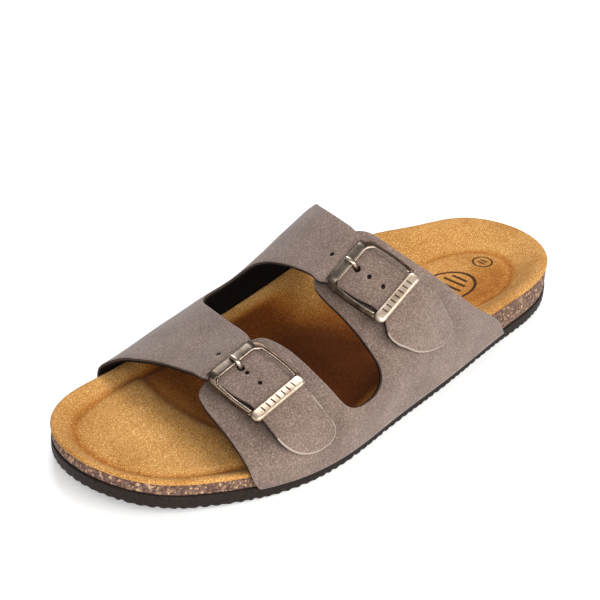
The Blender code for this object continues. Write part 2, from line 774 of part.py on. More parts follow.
def build_inner_quarter():
    """Build the inner quarter: one piece with two straps that run through the buckles."""
    ahead = STRAP_MIDDLE + STRAP_HALF
    behind = STRAP_MIDDLE - STRAP_HALF
    front = FRONT_BUCKLE
    rear = REAR_BUCKLE
    edge = [
        foot_at(215.2, -1), (213.9, -45.5), (212.9, -38.7), (213.3, -28.9), (213.0, -20.9),
        (213.2, -8.0), (214.0, 2.0), (214.6, 7.4),
        buckle_flat(front, -13.0, ahead + 0.9), buckle_flat(front, -9.0, ahead),
        buckle_flat(front, 0.0, ahead), buckle_flat(front, 12.5, ahead),
        (212.2, 38.0), (211.2, 42.4), (208.9, 45.7), (205.4, 48.8), (200.2, 51.8),
        (194.2, 53.5), (190.0, 53.3), (188.4, 51.2), (189.3, 48.0), (190.7, 44.5),
        buckle_flat(front, 12.5, behind), buckle_flat(front, 0.0, behind),
        buckle_flat(front, -9.0, behind), buckle_flat(front, -13.0, behind - 0.9),
        (190.0, 8.4), (187.2, 2.0), (182.9, -11.0), (178.6, -22.0), (173.4, -31.6),
        (167.6, -36.4), (160.0, -38.0), (152.4, -35.4), (148.8, -28.6), (148.8, -20.0),
        (149.8, -10.8), (150.4, -0.1), (151.6, 8.0), (152.8, 12.0),
        buckle_flat(rear, -13.0, ahead + 0.9), buckle_flat(rear, -9.0, ahead),
        buckle_flat(rear, 0.0, ahead), buckle_flat(rear, 12.5, ahead),
        (148.8, 44.4), (147.2, 48.4), (144.4, 51.5), (137.6, 57.9), (127.4, 64.6),
        (119.9, 66.3), (116.0, 65.0), (115.3, 62.0), (118.2, 56.2), (121.0, 50.5),
        buckle_flat(rear, 12.5, behind), buckle_flat(rear, 0.0, behind),
        buckle_flat(rear, -9.0, behind), buckle_flat(rear, -13.0, behind - 0.9),
        (129.2, 9.6), (127.7, 3.6), (125.2, -5.0), (121.0, -14.0), (114.7, -23.4),
        (106.5, -37.4), (95.5, -53.6), (82.0, -69.8), foot_at(71.6, -1),
    ]
    holes = []
    for buckle, first in ((front, -4.6), (rear, -1.8)):
        for u in (-18.6, first, first + 6.4):
            x, b = buckle_flat(buckle, u, PRONG_V)
            holes.append(ring_hole(x, b, 1.0, 1.0))
        holes.append(slot_hole(*buckle_flat(buckle, -7.8, PRONG_V)))
    obj = leather_piece("upper_inner", -1, edge, holes, inner_quarter_point)
    paint(obj, "upper_nubuck_inner", (0.20, 0.165, 0.15), 0.85)
    return obj


def eight_ring(width, thickness):
    """Return a flat bar's section: eight points with cut corners."""
    w = 0.5 * width
    t = 0.5 * thickness
    c = 0.3 * min(width, thickness)
    return [(w - c, t), (w, t - c), (w, c - t), (w - c, -t),
            (c - w, -t), (-w, c - t), (-w, t - c), (c - w, t)]


def closed_sweep(name, buckle, path, sections):
    """Sweep varying sections round a closed path that lies in the buckle's plane."""
    count = len(path)
    points = []
    for k in range(count):
        u, v = path[k]
        before = path[k - 1]
        after = path[(k + 1) % count]
        du = after[0] - before[0]
        dv = after[1] - before[1]
        size = math.hypot(du, dv)
        out_u = dv / size
        out_v = -du / size
        for side, height in sections[k]:
            points.append(buckle.point(u + out_u * side, v + out_v * side, height))
    ring = len(sections[0])
    faces = []
    for k in range(count):
        j = (k + 1) % count
        for i in range(ring):
            m = (i + 1) % ring
            faces.append((k * ring + i, k * ring + m, j * ring + m, j * ring + i))
    return new_object(name, points, faces)


def open_sweep(name, buckle, path, sections):
    """Sweep sections along an open path given as u, v, n with flat ends."""
    pts = [np.array(p, float) for p in path]
    rings = []
    side_way = np.array([0.0, 1.0, 0.0])
    for k in range(len(pts)):
        ahead = pts[min(k + 1, len(pts) - 1)] - pts[max(k - 1, 0)]
        ahead = ahead / np.linalg.norm(ahead)
        across = side_way - ahead * (side_way @ ahead)
        if np.linalg.norm(across) < 0.05:
            across = np.array([1.0, 0.0, 0.0]) - ahead * ahead[0]
        across = across / np.linalg.norm(across)
        up = np.cross(ahead, across)
        rings.append([buckle.point(*(pts[k] + across * a + up * h)) for a, h in sections[k]])
    return loft(name, rings)


def frame_path():
    """Return the frame's path in u and v with the section of each step."""
    half_u = 0.5 * FRAME_HEIGHT
    half_v = 0.5 * FRAME_WIDTH
    corner = 2.2
    path = []
    sections = []

    def add(u, v, width, thickness):
        path.append((u, v))
        sections.append(eight_ring(width, thickness))

    def mix(a, b, t):
        return a[0] + (b[0] - a[0]) * t, a[1] + (b[1] - a[1]) * t

    for t in (-1.0, -0.33, 0.33, 1.0):
        add(-half_u, t * (half_v - corner), *FAR_BAR)
    for k in (1, 2, 3):
        angle = k / 4 * math.pi / 2
        add(-half_u + corner * (1 - math.cos(angle)), half_v - corner * (1 - math.sin(angle)),
            *mix(FAR_BAR, RAIL, k / 4))
    for k in range(9):
        t = -1.0 + 2.0 * k / 8
        add(t * (half_u - corner), half_v + RAIL_BOW * (1 - t * t), *RAIL)
    for k in (1, 2, 3):
        angle = k / 4 * math.pi / 2
        add(half_u - corner * (1 - math.sin(angle)), half_v - corner * (1 - math.cos(angle)),
            *mix(RAIL, NEAR_BAR, k / 4))
    for t in (1.0, 0.33, -0.33, -1.0):
        add(half_u, t * (half_v - corner), *NEAR_BAR)
    for k in (3, 2, 1):
        angle = k / 4 * math.pi / 2
        add(half_u - corner * (1 - math.sin(angle)), -half_v + corner * (1 - math.cos(angle)),
            *mix(RAIL, NEAR_BAR, k / 4))
    for k in range(9):
        t = 1.0 - 2.0 * k / 8
        add(t * (half_u - corner), -half_v - RAIL_BOW * (1 - t * t), *RAIL)
    for k in (3, 2, 1):
        angle = k / 4 * math.pi / 2
        add(-half_u + corner * (1 - math.cos(angle)), -half_v + corner * (1 - math.sin(angle)),
            *mix(FAR_BAR, RAIL, k / 4))
    return path, sections


def combine(base, other, operation):
    """Apply a Boolean of two bodies to the first and remove the second."""
    cut = base.modifiers.new("join", "BOOLEAN")
    cut.operation = operation
    cut.solver = "EXACT"
    cut.object = other
    graph = bpy.context.evaluated_depsgraph_get()
    mesh = bpy.data.meshes.new_from_object(base.evaluated_get(graph))
    base.modifiers.remove(cut)
    old = base.data
    base.data = mesh
    mesh.name = base.name
    bpy.data.meshes.remove(old)
    bpy.data.objects.remove(other, do_unlink=True)
    work = bmesh.new()
    work.from_mesh(mesh)
    bmesh.ops.triangulate(work, faces=work.faces)
    for face in work.faces:
        face.smooth = True
    work.to_mesh(mesh)
    work.free()


def round_section(radius, count=8):
    """Return a round section."""
    return [(radius * math.cos(2 * math.pi * k / count), radius * math.sin(2 * math.pi * k / count))
            for k in range(count)]


def build_buckle(name, slot, buckle):
    """Build a buckle's frame with the hinge bar below its near bar."""
    path, sections = frame_path()
    frame = closed_sweep(name, buckle, path, sections)
    half_v = 0.5 * FRAME_WIDTH
    top = -0.25
    bend = 1.0
    line = [
        (HINGE_U, -half_v, top), (HINGE_U, -half_v, HINGE_N + bend),
        (HINGE_U, -half_v + 0.3 * bend, HINGE_N + 0.3 * bend), (HINGE_U, -half_v + bend, HINGE_N),
        (HINGE_U, half_v - bend, HINGE_N), (HINGE_U, half_v - 0.3 * bend, HINGE_N + 0.3 * bend),
        (HINGE_U, half_v, HINGE_N + bend), (HINGE_U, half_v, top),
    ]
    rings = []
    for k in range(len(line)):
        ahead = np.array(line[min(k + 1, len(line) - 1)]) - np.array(line[max(k - 1, 0)])
        ahead = ahead / np.linalg.norm(ahead)
        across = np.array([1.0, 0.0, 0.0])
        up = np.cross(ahead, across)
        rings.append([buckle.point(*(np.array(line[k]) + across * a + up * h))
                      for a, h in round_section(HINGE_RADIUS)])
    staple = loft(name + "_hinge", rings)
    combine(frame, staple, "UNION")
    paint(frame, slot, (0.24, 0.19, 0.12), 0.38, 1.0)
    return frame


def build_prong(name, slot, buckle):
    """Build the prong: an eye round the hinge bar, a flat shank and a tip."""
    eye = HINGE_RADIUS + 0.17 + 0.35
    path = []
    sections = []
    for k in range(9):
        angle = math.radians(-200.0 + k * 290.0 / 8)
        path.append((HINGE_U - eye * math.cos(angle), PRONG_V,
                     HINGE_N + eye * math.sin(angle)))
        sections.append(eight_ring(1.7, 0.7))
    for u, n, thick in ((8.0, -3.85, 0.7), (4.0, -3.75, 0.8), (0.0, -3.65, 0.8),
                        (-3.5, -3.65, 0.9), (-5.9, -3.5, 0.95), (-7.3, -2.6, 1.0),
                        (-8.1, -1.3, 1.0), (-8.5, 0.2, 1.05), (-9.35, 1.25, 1.1),
                        (-10.8, 1.5, 1.1), (-12.6, 1.45, 1.1), (-13.2, 1.4, 0.8)):
        path.append((u, PRONG_V, n))
        sections.append(eight_ring(1.7, thick))
    obj = open_sweep(name, buckle, path, sections)
    paint(obj, slot, (0.24, 0.19, 0.12), 0.38, 1.0)
    return obj


KEEPER_HALF = 5.5
KEEPER_SLOT = 1.25
KEEPER_THICKNESS = 0.6


def arm_point(x, b):
    """Return the outer face of the outer quarter's arms."""
    return over_last(x, b, LEATHER)


def arm_height(buckle, u, half):
    """Return the height of the arm's outer face over the buckle's plane at u."""
    return max(buckle.local(arm_point(*buckle_flat(buckle, u, v, arm_point)))[2]
               for v in (-half, -0.5 * half, 0.0, 0.5 * half, half))


def build_keeper(name, slot, buckle):
    """Build the leather loop that holds the hinge bar on the outer arm."""
    inner = HINGE_RADIUS + 0.2
    outer = inner + KEEPER_THICKNESS
    places = (13.0, 15.6, 18.2, 20.8)
    low = [arm_height(buckle, u, KEEPER_HALF) + 0.25 for u in places]
    thick = 2.0 * KEEPER_THICKNESS
    outline = []
    for k in range(8):
        angle = math.radians(55.0 + k * 200.0 / 7)
        outline.append((HINGE_U + outer * math.cos(angle), HINGE_N + outer * math.sin(angle)))
    outline.extend(zip(places, low))
    outline.append((places[-1] + 0.2, low[-1] + thick))
    outline.extend([(u, h + thick) for u, h in reversed(list(zip(places[:-1], low[:-1])))])
    rings = [[buckle.point(u, v, n) for u, n in outline] for v in (-KEEPER_HALF, KEEPER_HALF)]
    body = loft(name, rings)
    hole = [(HINGE_U + inner * math.cos(2 * math.pi * k / 10),
             HINGE_N + inner * math.sin(2 * math.pi * k / 10)) for k in range(10)]
    reach = KEEPER_HALF + 1.0
    bore = loft(name + "_bore", [[buckle.point(u, v, n) for u, n in hole] for v in (-reach, reach)])
    combine(body, bore, "DIFFERENCE")
    notch = [(HINGE_U - 4.0, HINGE_N - 4.0), (HINGE_U + 2.3, HINGE_N - 4.0),
             (HINGE_U + 2.3, HINGE_N + 4.0), (HINGE_U - 4.0, HINGE_N + 4.0)]
    slit = loft(name + "_slit", [[buckle.point(u, v, n) for u, n in notch]
                                 for v in (PRONG_V - KEEPER_SLOT, PRONG_V + KEEPER_SLOT)])
    combine(body, slit, "DIFFERENCE")
    paint(body, slot, (0.10, 0.08, 0.075), 0.85)
    return body


def main():
    """Clear the scene and build every piece of the shoe."""
    for obj in list(bpy.data.objects):
        bpy.data.objects.remove(obj, do_unlink=True)
    build_outsole()
    build_cork()
    build_liner()
    build_outer_quarter()
    build_inner_quarter()
    build_buckle("buckle_front", "buckle_front_bronze", FRONT_BUCKLE)
    build_buckle("buckle_rear", "buckle_rear_bronze", REAR_BUCKLE)
    build_prong("prong_front", "prong_front_bronze", FRONT_BUCKLE)
    build_prong("prong_rear", "prong_rear_bronze", REAR_BUCKLE)
    build_keeper("keeper_front", "keeper_front_leather", FRONT_BUCKLE)
    build_keeper("keeper_rear", "keeper_rear_leather", REAR_BUCKLE)
    print("triangles", {o.name: sum(len(p.vertices) - 2 for p in o.data.polygons)
                        for o in bpy.data.objects})


main()
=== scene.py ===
"""Cork footbed sandal with two buckled straps, left shoe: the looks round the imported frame.

Sizes are in millimetres, with x from the back of the heel towards the toe, y towards the
outer side of the foot and z up from the floor.  to_frame turns them into the metres and
the origin of the frame.
"""

import math

import bmesh
import bpy
import numpy as np
from bpy.props import FloatProperty, IntProperty, PointerProperty, StringProperty
from mathutils import Matrix, Vector
from mathutils.geometry import delaunay_2d_cdt


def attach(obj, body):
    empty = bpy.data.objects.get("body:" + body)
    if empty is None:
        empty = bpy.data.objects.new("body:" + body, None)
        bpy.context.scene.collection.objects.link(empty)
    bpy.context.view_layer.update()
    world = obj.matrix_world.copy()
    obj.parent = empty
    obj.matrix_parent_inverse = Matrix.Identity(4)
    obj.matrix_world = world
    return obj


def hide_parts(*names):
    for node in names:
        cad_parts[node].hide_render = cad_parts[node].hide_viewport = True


bl_info = {
    "name": "Cork footbed sandal",
    "version": (1, 0, 0),
    "blender": (4, 5, 0),
    "location": "3D View > Sidebar > Sandal",
    "description": "Makes the visible pieces of a cork footbed sandal round its packed frame",
    "category": "Add Mesh",
}

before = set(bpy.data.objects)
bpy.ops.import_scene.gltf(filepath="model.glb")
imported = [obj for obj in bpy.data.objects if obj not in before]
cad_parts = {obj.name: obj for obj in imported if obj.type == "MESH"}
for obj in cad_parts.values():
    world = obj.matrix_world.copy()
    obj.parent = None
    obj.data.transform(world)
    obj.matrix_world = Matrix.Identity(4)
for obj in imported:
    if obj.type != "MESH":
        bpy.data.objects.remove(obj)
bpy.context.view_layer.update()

# The camera of the photograph: its place in the frame, its turn and its focal length.
CAMERA_PLACE = (0.419306, 0.334428, 0.336778)
CAMERA_TURN = 130.044
CAMERA_RISE = 29.723
CAMERA_ROLL = -2.594
CAMERA_FOCUS = 1542.733
PHOTO_SIZE = 600.0
SENSOR_WIDTH = 36.0

MM = 0.001

# Sizes of the shoe, in millimetres.
SOLE_LENGTH = 262.0
HEEL_REACH = 0.5 * SOLE_LENGTH
OUTSOLE_HEIGHT = 6.0
TOE_SPRING = 6.6
SPRING_START = 0.75
LINER_THICKNESS = 1.6
LEATHER = 2.0
STRAP_GAP = 0.35

# The last's wall: its gaps from the sole's outline, the rim and the outsole, and its depth.
LAST_GAP = 0.3
RIM_GAP = 0.4
FOOT_GAP = 0.35
WALL_DEPTH = 6.0

# Steps along x and across the last by which its slopes are read.
X_PROBE = 0.6
B_PROBE = 0.35

# Outline of the sole: share of the length from the heel, and y in millimetres.
OUTLINE = (
    (0.000, -0.3), (0.030, 20.3), (0.120, 35.1), (0.250, 39.2), (0.420, 43.4),
    (0.580, 46.3), (0.700, 48.4), (0.800, 44.1), (0.890, 34.3), (0.960, 22.2),
    (1.000, -9.1), (0.965, -31.6), (0.900, -43.1), (0.800, -46.7), (0.700, -48.2),
    (0.580, -43.2), (0.420, -35.8), (0.250, -36.8), (0.120, -31.6), (0.030, -21.6),
)


def table(places, values):
    """Return a smooth, never overshooting function through the points of a table."""
    xs = np.asarray(places, float)
    ys = np.asarray(values, float)
    step = np.diff(xs)
    slope = np.diff(ys) / step
    tangent = np.zeros(len(xs))
    tangent[0] = slope[0]
    tangent[-1] = slope[-1]
    for k in range(1, len(xs) - 1):
        if slope[k - 1] * slope[k] > 0.0:
            w1 = 2.0 * step[k] + step[k - 1]
            w2 = step[k] + 2.0 * step[k - 1]
            tangent[k] = (w1 + w2) / (w1 / slope[k - 1] + w2 / slope[k])

    def at(x):
        x = np.clip(np.asarray(x, float), xs[0], xs[-1])
        k = np.clip(np.searchsorted(xs, x, side="right") - 1, 0, len(step) - 1)
        t = (x - xs[k]) / step[k]
        h00 = (1.0 + 2.0 * t) * (1.0 - t) ** 2
        h10 = t * (1.0 - t) ** 2
        h01 = t * t * (3.0 - 2.0 * t)
        h11 = t * t * (t - 1.0)
        return (h00 * ys[k] + h10 * step[k] * tangent[k]
                + h01 * ys[k + 1] + h11 * step[k] * tangent[k + 1])

    return at


def closed_spline(points, count):
    """Return count points of a smooth closed curve through the given points."""
    pts = np.asarray(points, float)
    n = len(pts)
    nxt = np.roll(pts, -1, axis=0)
    h = np.linalg.norm(nxt - pts, axis=1)
    matrix = np.zeros((n, n))
    right = np.zeros((n, 2))
    for k in range(n):
        before = h[k - 1]
        after = h[k]
        matrix[k, k - 1] += before
        matrix[k, k] += 2.0 * (before + after)
        matrix[k, (k + 1) % n] += after
        right[k] = 6.0 * ((nxt[k] - pts[k]) / after - (pts[k] - pts[k - 1]) / before)
    bend = np.linalg.solve(matrix, right)
    total = h.sum()
    start = np.concatenate([[0.0], np.cumsum(h)])
    out = []
    for s in np.linspace(0.0, total, count, endpoint=False):
        k = min(int(np.searchsorted(start, s, side="right") - 1), n - 1)
        a = start[k + 1] - s
        b = s - start[k]
        j = (k + 1) % n
        out.append(bend[k] * a ** 3 / (6 * h[k]) + bend[j] * b ** 3 / (6 * h[k])
                   + (pts[k] / h[k] - bend[k] * h[k] / 6) * a
                   + (pts[j] / h[k] - bend[j] * h[k] / 6) * b)
    return np.array(out)


OUTLINE_CURVE = closed_spline([(s * SOLE_LENGTH, y) for s, y in OUTLINE], 1440)
TIP_INDEX = int(np.argmax(OUTLINE_CURVE[:, 0]))
BACK_INDEX = int(np.argmin(OUTLINE_CURVE[:, 0]))


def side_run(first, last):
    """Return the outline's points from one index to another, wrapping round."""
    count = len(OUTLINE_CURVE)
    span = (last - first) % count
    return OUTLINE_CURVE[[(first + k) % count for k in range(span + 1)]]


OUTER_RUN = side_run(BACK_INDEX, TIP_INDEX)
INNER_RUN = side_run(TIP_INDEX, BACK_INDEX)[::-1]


def side_y(x, side):
    """Return y of the outline at x, on the outer (+1) or the inner (-1) side."""
    run = OUTER_RUN if side > 0 else INNER_RUN
    return float(np.interp(x, np.maximum.accumulate(run[:, 0]), run[:, 1]))


def spring(x):
    """Return how far the sole lifts off the floor at x."""
    share = (x / SOLE_LENGTH - SPRING_START) / (1.0 - SPRING_START)
    return TOE_SPRING * np.clip(share, 0.0, 1.0) ** 2


def outsole_top(x):
    """Return the height of the outsole's upper face."""
    return OUTSOLE_HEIGHT + spring(x)


# Rim of the footbed along both sides, heights above the floor without toe spring.
rim_outer = table([0, 30, 52, 90, 130, 165, 183, 236, 262],
                  [17.2, 18.6, 19.1, 19.8, 19.6, 16.0, 13.4, 12.4, 12.2])
rim_inner = table([0, 30, 60, 85, 105, 116, 129, 142, 152, 175, 236, 262],
                  [17.2, 18.6, 22.5, 26.5, 28.2, 26.6, 22.8, 18.5, 15.4, 13.4, 12.4, 12.2])

# The last: crest line, and the handles of its arched section on the two sides.
crest_height = table([0, 60, 95, 115, 128, 140, 155, 170, 183, 200, 216, 235, 262],
                     [60, 67, 69.6, 67.2, 62.7, 55.9, 47.6, 42.6, 39.2, 34.6, 30.7, 27.5, 25])
crest_y = table([0, 110, 150, 180, 216, 262], [-3, -3, -2, 0, 1.5, 1.5])
inner_up = table([0, 115, 126, 148, 163, 180, 200, 216, 262],
                 [.56, .55, .48, .40, .39, .26, .20, .18, .18])
inner_over = table([0, 115, 150, 180, 216, 262], [.56, .56, .56, .60, .60, .60])
OUTER_HANDLE = 0.56
ARCH_STEPS = 44
SECTION_CACHE = {}


def rim_height(x, side):
    """Return the height of the rim at x with the toe spring."""
    rim = rim_outer if side > 0 else rim_inner
    return float(rim(x)) + float(spring(x))


def last_section(x, side):
    """Return half of the last's section: its line from the crest, lengths and foot of the wall."""
    key = (round(float(x), 4), side)
    if key in SECTION_CACHE:
        return SECTION_CACHE[key]
    wall_y = side_y(x, side) + side * LAST_GAP
    wall_top = rim_height(x, side) + RIM_GAP
    top = float(crest_height(x))
    middle = float(crest_y(x))
    up = OUTER_HANDLE if side > 0 else float(inner_up(x))
    over = OUTER_HANDLE if side > 0 else float(inner_over(x))
    t = np.linspace(0.0, 1.0, ARCH_STEPS)
    hand = (
        (middle, top),
        (middle + over * (wall_y - middle), top),
        (wall_y, wall_top + up * (top - wall_top)),
        (wall_y, wall_top),
    )
    weight = ((1 - t) ** 3, 3 * (1 - t) ** 2 * t, 3 * (1 - t) * t * t, t ** 3)
    arch_y = sum(w * p[0] for w, p in zip(weight, hand))
    arch_z = sum(w * p[1] for w, p in zip(weight, hand))
    foot = float(outsole_top(x)) + FOOT_GAP
    line = np.column_stack([[*arch_y, wall_y], [*arch_z, foot - WALL_DEPTH]])
    run = np.concatenate([[0.0], np.cumsum(np.linalg.norm(np.diff(line, axis=0), axis=1))])
    base = run[ARCH_STEPS - 1] + wall_top - foot
    SECTION_CACHE[key] = (line, run, base)
    return SECTION_CACHE[key]


def wall_base(x, side):
    """Return the arc length from the crest to the foot of the wall."""
    return last_section(x, side)[2]


def last_point(x, b):
    """Return the last's point at x and arc length b, positive on the outer side."""
    side = 1 if b >= 0 else -1
    line, run, _ = last_section(x, side)
    s = abs(b)
    return np.array([x, np.interp(s, run, line[:, 0]), np.interp(s, run, line[:, 1])])


def last_normal(x, b):
    """Return the last's outward normal."""
    dx = last_point(x + X_PROBE, b) - last_point(x - X_PROBE, b)
    db = last_point(x, b + B_PROBE) - last_point(x, b - B_PROBE)
    normal = np.cross(dx, db)
    return normal / np.linalg.norm(normal)


def over_last(x, b, lift):
    """Return the point lift millimetres above the last."""
    return last_point(x, b) + lift * last_normal(x, b)


# Heights of the footbed's floor along the middle, and the widths of the slopes that
# lead from the rim down to it, both read along x.
footbed_floor = table([0, 10, 25, 45, 70, 95, 125, 150, 168, 185, 198, 212, 225, 240, 262],
                      [16.2, 14.2, 12.3, 11.6, 12.4, 14.0, 15.2, 14.9, 13.2, 10.9, 10.2,
                       10.9, 10.3, 10.0, 10.0])
slope_outer = table([0, 20, 55, 110, 160, 190, 230, 262], [19, 16, 14, 20, 16, 9, 7.5, 7])
slope_inner = table([0, 20, 55, 80, 105, 140, 170, 195, 230, 262],
                    [21, 21, 21, 30, 36, 30, 15, 10, 9.5, 7.5])
RIM_FLAT = 1.8
LEAST_DISH = 0.8
CREASE_DEPTH = 0.9
CREASE_WIDTH = 2.2
CREASE_START = (150.0, 190.0)


def rise(x, start, end):
    """Return a smooth ramp from 0 at start to 1 at end, which may lie below start."""
    t = min(max((x - start) / (end - start), 0.0), 1.0)
    return t * t * (3.0 - 2.0 * t)


def from_outline(x, y):
    """Return the distance of a flat spot from the sole's outline."""
    gap = OUTLINE_CURVE - np.array([x, y])
    return float(np.sqrt((gap * gap).sum(axis=1)).min())


def footbed_height(x, y):
    """Return the height of the footbed's upper face above the floor."""
    low = side_y(x, -1)
    high = side_y(x, 1)
    blend = rise((y - low) / max(high - low, 0.001), 0.0, 1.0)
    inside = from_outline(x, y)
    rim = float(rim_inner(x)) * (1.0 - blend) + float(rim_outer(x)) * blend
    width = float(slope_inner(x)) * (1.0 - blend) + float(slope_outer(x)) * blend
    floor = min(float(footbed_floor(x)), rim - LEAST_DISH)
    height = rim + (floor - rim) * rise(inside, RIM_FLAT, width)
    if x > CREASE_START[0]:
        crease = math.exp(-((inside - width) / CREASE_WIDTH) ** 2)
        height -= CREASE_DEPTH * crease * rise(x, *CREASE_START)
    return height + float(spring(x))


class Buckle:
    """A place for a buckle: its middle and its axes from far bar to near bar."""

    def __init__(self, middle, along, across):
        self.middle = np.array(middle)
        self.v = np.array(along) / np.linalg.norm(along)
        across = np.array(across)
        across = across - self.v * (across @ self.v)
        self.u = across / np.linalg.norm(across)
        self.n = np.cross(self.v, self.u)

    def point(self, u, v, n):
        """Return the point at local u, v and n."""
        return self.middle + u * self.u + v * self.v + n * self.n

    def local(self, point):
        """Return local u, v and n of a point."""
        away = np.asarray(point) - self.middle
        return away @ self.u, away @ self.v, away @ self.n


FRONT_BUCKLE = Buckle((205.80, 25.75, 39.45), (0.9570, -0.0660, -0.2824), (-0.0010, 0.9727, -0.2320))
REAR_BUCKLE = Buckle((143.83, 27.95, 56.71), (0.8876, -0.0206, -0.4602), (-0.1542, 0.9281, -0.3390))

# Sizes of a buckle, in millimetres.
FRAME_WIDTH = 23.4
FRAME_HEIGHT = 23.1
FRAME_CORNER = 3.0
RAIL_BOW = 0.8
RAIL_STOP = 1.6
HINGE_RADIUS = 0.7
HINGE_U = 11.0
HINGE_N = -5.0
STRAP_HALF = 10.5
STRAP_MIDDLE = -0.3
PRONG_V = -0.6

# Height of the strap's inner face over the plane of the buckle, read along u.
strap_profile = table([-30, -20, -15, -11.6, -7, 0, 7, 11.6, 15, 20, 30],
                      [-8.6, -4.9, -3.55, -3.05, -2.85, -2.55, -2.75, -3.1, -3.7, -5.2, -9.4])


# Where a strap rises off the last, in u, and where the buckles take it over, in u, x and b.
STRAP_RISE = (-44.0, -18.0)
BUCKLE_START = (-30.0, -14.0)
BUCKLE_END = (29.0, 14.0)
BUCKLE_SIDE = (-32.0, -20.0)
BETWEEN_BUCKLES = ((164.0, 176.0), (158.0, 170.0))


def inner_quarter_point(x, b):
    """Return the inner face of the inner quarter and its straps."""
    base = last_point(x, b)
    if b < BUCKLE_SIDE[0]:
        return base
    near = sum(rise(x, *span) for span in BETWEEN_BUCKLES) / len(BETWEEN_BUCKLES)
    out = np.zeros(3)
    for buckle, share in ((REAR_BUCKLE, 1.0 - near), (FRONT_BUCKLE, near)):
        if share <= 0.0:
            continue
        u, _, _ = buckle.local(base)
        point = over_last(x, b, (LEATHER + STRAP_GAP) * rise(u, *STRAP_RISE))
        u, _, n = buckle.local(point)
        weight = rise(u, *BUCKLE_START) * rise(u, *BUCKLE_END) * rise(b, *BUCKLE_SIDE)
        point = point + buckle.n * weight * (float(strap_profile(u)) - n)
        out = out + share * point
    return out


def smooth_run(points, step=0.5):
    """Return a dense smooth open curve through the points."""
    pts = [np.array(p, float) for p in points]
    pts = [2 * pts[0] - pts[1], *pts, 2 * pts[-1] - pts[-2]]
    out = []
    for k in range(1, len(pts) - 2):
        p0, p1, p2, p3 = pts[k - 1:k + 3]
        t0 = 0.0
        t1 = t0 + math.sqrt(np.linalg.norm(p1 - p0))
        t2 = t1 + math.sqrt(np.linalg.norm(p2 - p1))
        t3 = t2 + math.sqrt(np.linalg.norm(p3 - p2))
        count = max(2, int(np.linalg.norm(p2 - p1) / step))
        for j in range(count):
            t = t1 + (t2 - t1) * j / count
            a1 = (t1 - t) / (t1 - t0) * p0 + (t - t0) / (t1 - t0) * p1
            a2 = (t2 - t) / (t2 - t1) * p1 + (t - t1) / (t2 - t1) * p2
            a3 = (t3 - t) / (t3 - t2) * p2 + (t - t2) / (t3 - t2) * p3
            b1 = (t2 - t) / (t2 - t0) * a1 + (t - t0) / (t2 - t0) * a2
            b2 = (t3 - t) / (t3 - t1) * a2 + (t - t1) / (t3 - t1) * a3
            out.append((t2 - t) / (t2 - t1) * b1 + (t - t1) / (t2 - t1) * b2)
    out.append(pts[-2])
    return out


def foot_at(x, side):
    """Return the flat point at the foot of the wall at x."""
    return (x, side * wall_base(x, side))


# The search for a buckle's place on the flat leather: first b, rounds, step and limits.
SEARCH_START = 24.0
SEARCH_ROUNDS = 30
SEARCH_STEP = 0.5
LEAST_SLOPE = 0.3
MOST_MOVE = 5.0


def buckle_flat(buckle, u, v):
    """Return the flat point that is laid out at local u and v of a buckle."""
    flat = np.array([buckle.middle[0] + u * buckle.u[0] + v * buckle.v[0], SEARCH_START])
    for _ in range(SEARCH_ROUNDS):
        for moved, read, wanted in ((1, 0, u), (0, 1, v)):
            ahead = flat.copy()
            ahead[moved] += SEARCH_STEP
            here = buckle.local(inner_quarter_point(*flat))[read]
            slope = (buckle.local(inner_quarter_point(*ahead))[read] - here) / SEARCH_STEP
            move = (wanted - here) / max(slope, LEAST_SLOPE)
            flat[moved] += np.clip(move, -MOST_MOVE, MOST_MOVE)
    return tuple(flat)


OUTER_EDGE = [
    foot_at(219.4, 1), (221.0, 49.2), (223.9, 38.0), (223.4, 26.1), (221.0, 14.0),
    (218.0, 8.4), (213.0, 6.2), (205.0, 5.6), (193.0, 5.6), (186.6, 6.4), (183.4, 9.0),
    (182.0, 14.0), (181.4, 20.7), (181.2, 36.0), (179.2, 48.2), (176.7, 51.4),
    (173.1, 53.4), (168.7, 54.6), (164.6, 55.2), (160.8, 54.7), (157.8, 52.6),
    (156.6, 48.7), (156.7, 42.1), (156.4, 33.2), (155.9, 24.9), (155.1, 16.7),
    (152.9, 9.6), (149.0, 6.8), (143.0, 6.2), (137.0, 6.2), (131.4, 6.8), (127.4, 9.0),
    (125.0, 13.2), (123.9, 20.0), (122.4, 27.6), (116.0, 40.8), (98.5, 61.0),
    (73.2, 77.3), foot_at(67.4, 1),
]


# How much narrower a strap is on its toe side inside its buckle, at places along u.
STRAP_WAIST = ((-13.0, -0.9), (-9.0, 0.0), (0.0, 0.5), (6.5, 1.7), (12.5, 0.6))


def strap_sides(buckle):
    """Return the flat points of a strap's toe side and heel side inside its buckle."""
    toe_side = [buckle_flat(buckle, u, STRAP_MIDDLE + STRAP_HALF - waist) for u, waist in STRAP_WAIST]
    heel_side = [buckle_flat(buckle, u, STRAP_MIDDLE - STRAP_HALF - flare)
                 for u, flare in ((12.5, 0.0), (0.0, 0.0), (-9.0, 0.0), (-13.0, 0.9))]
    return toe_side, heel_side


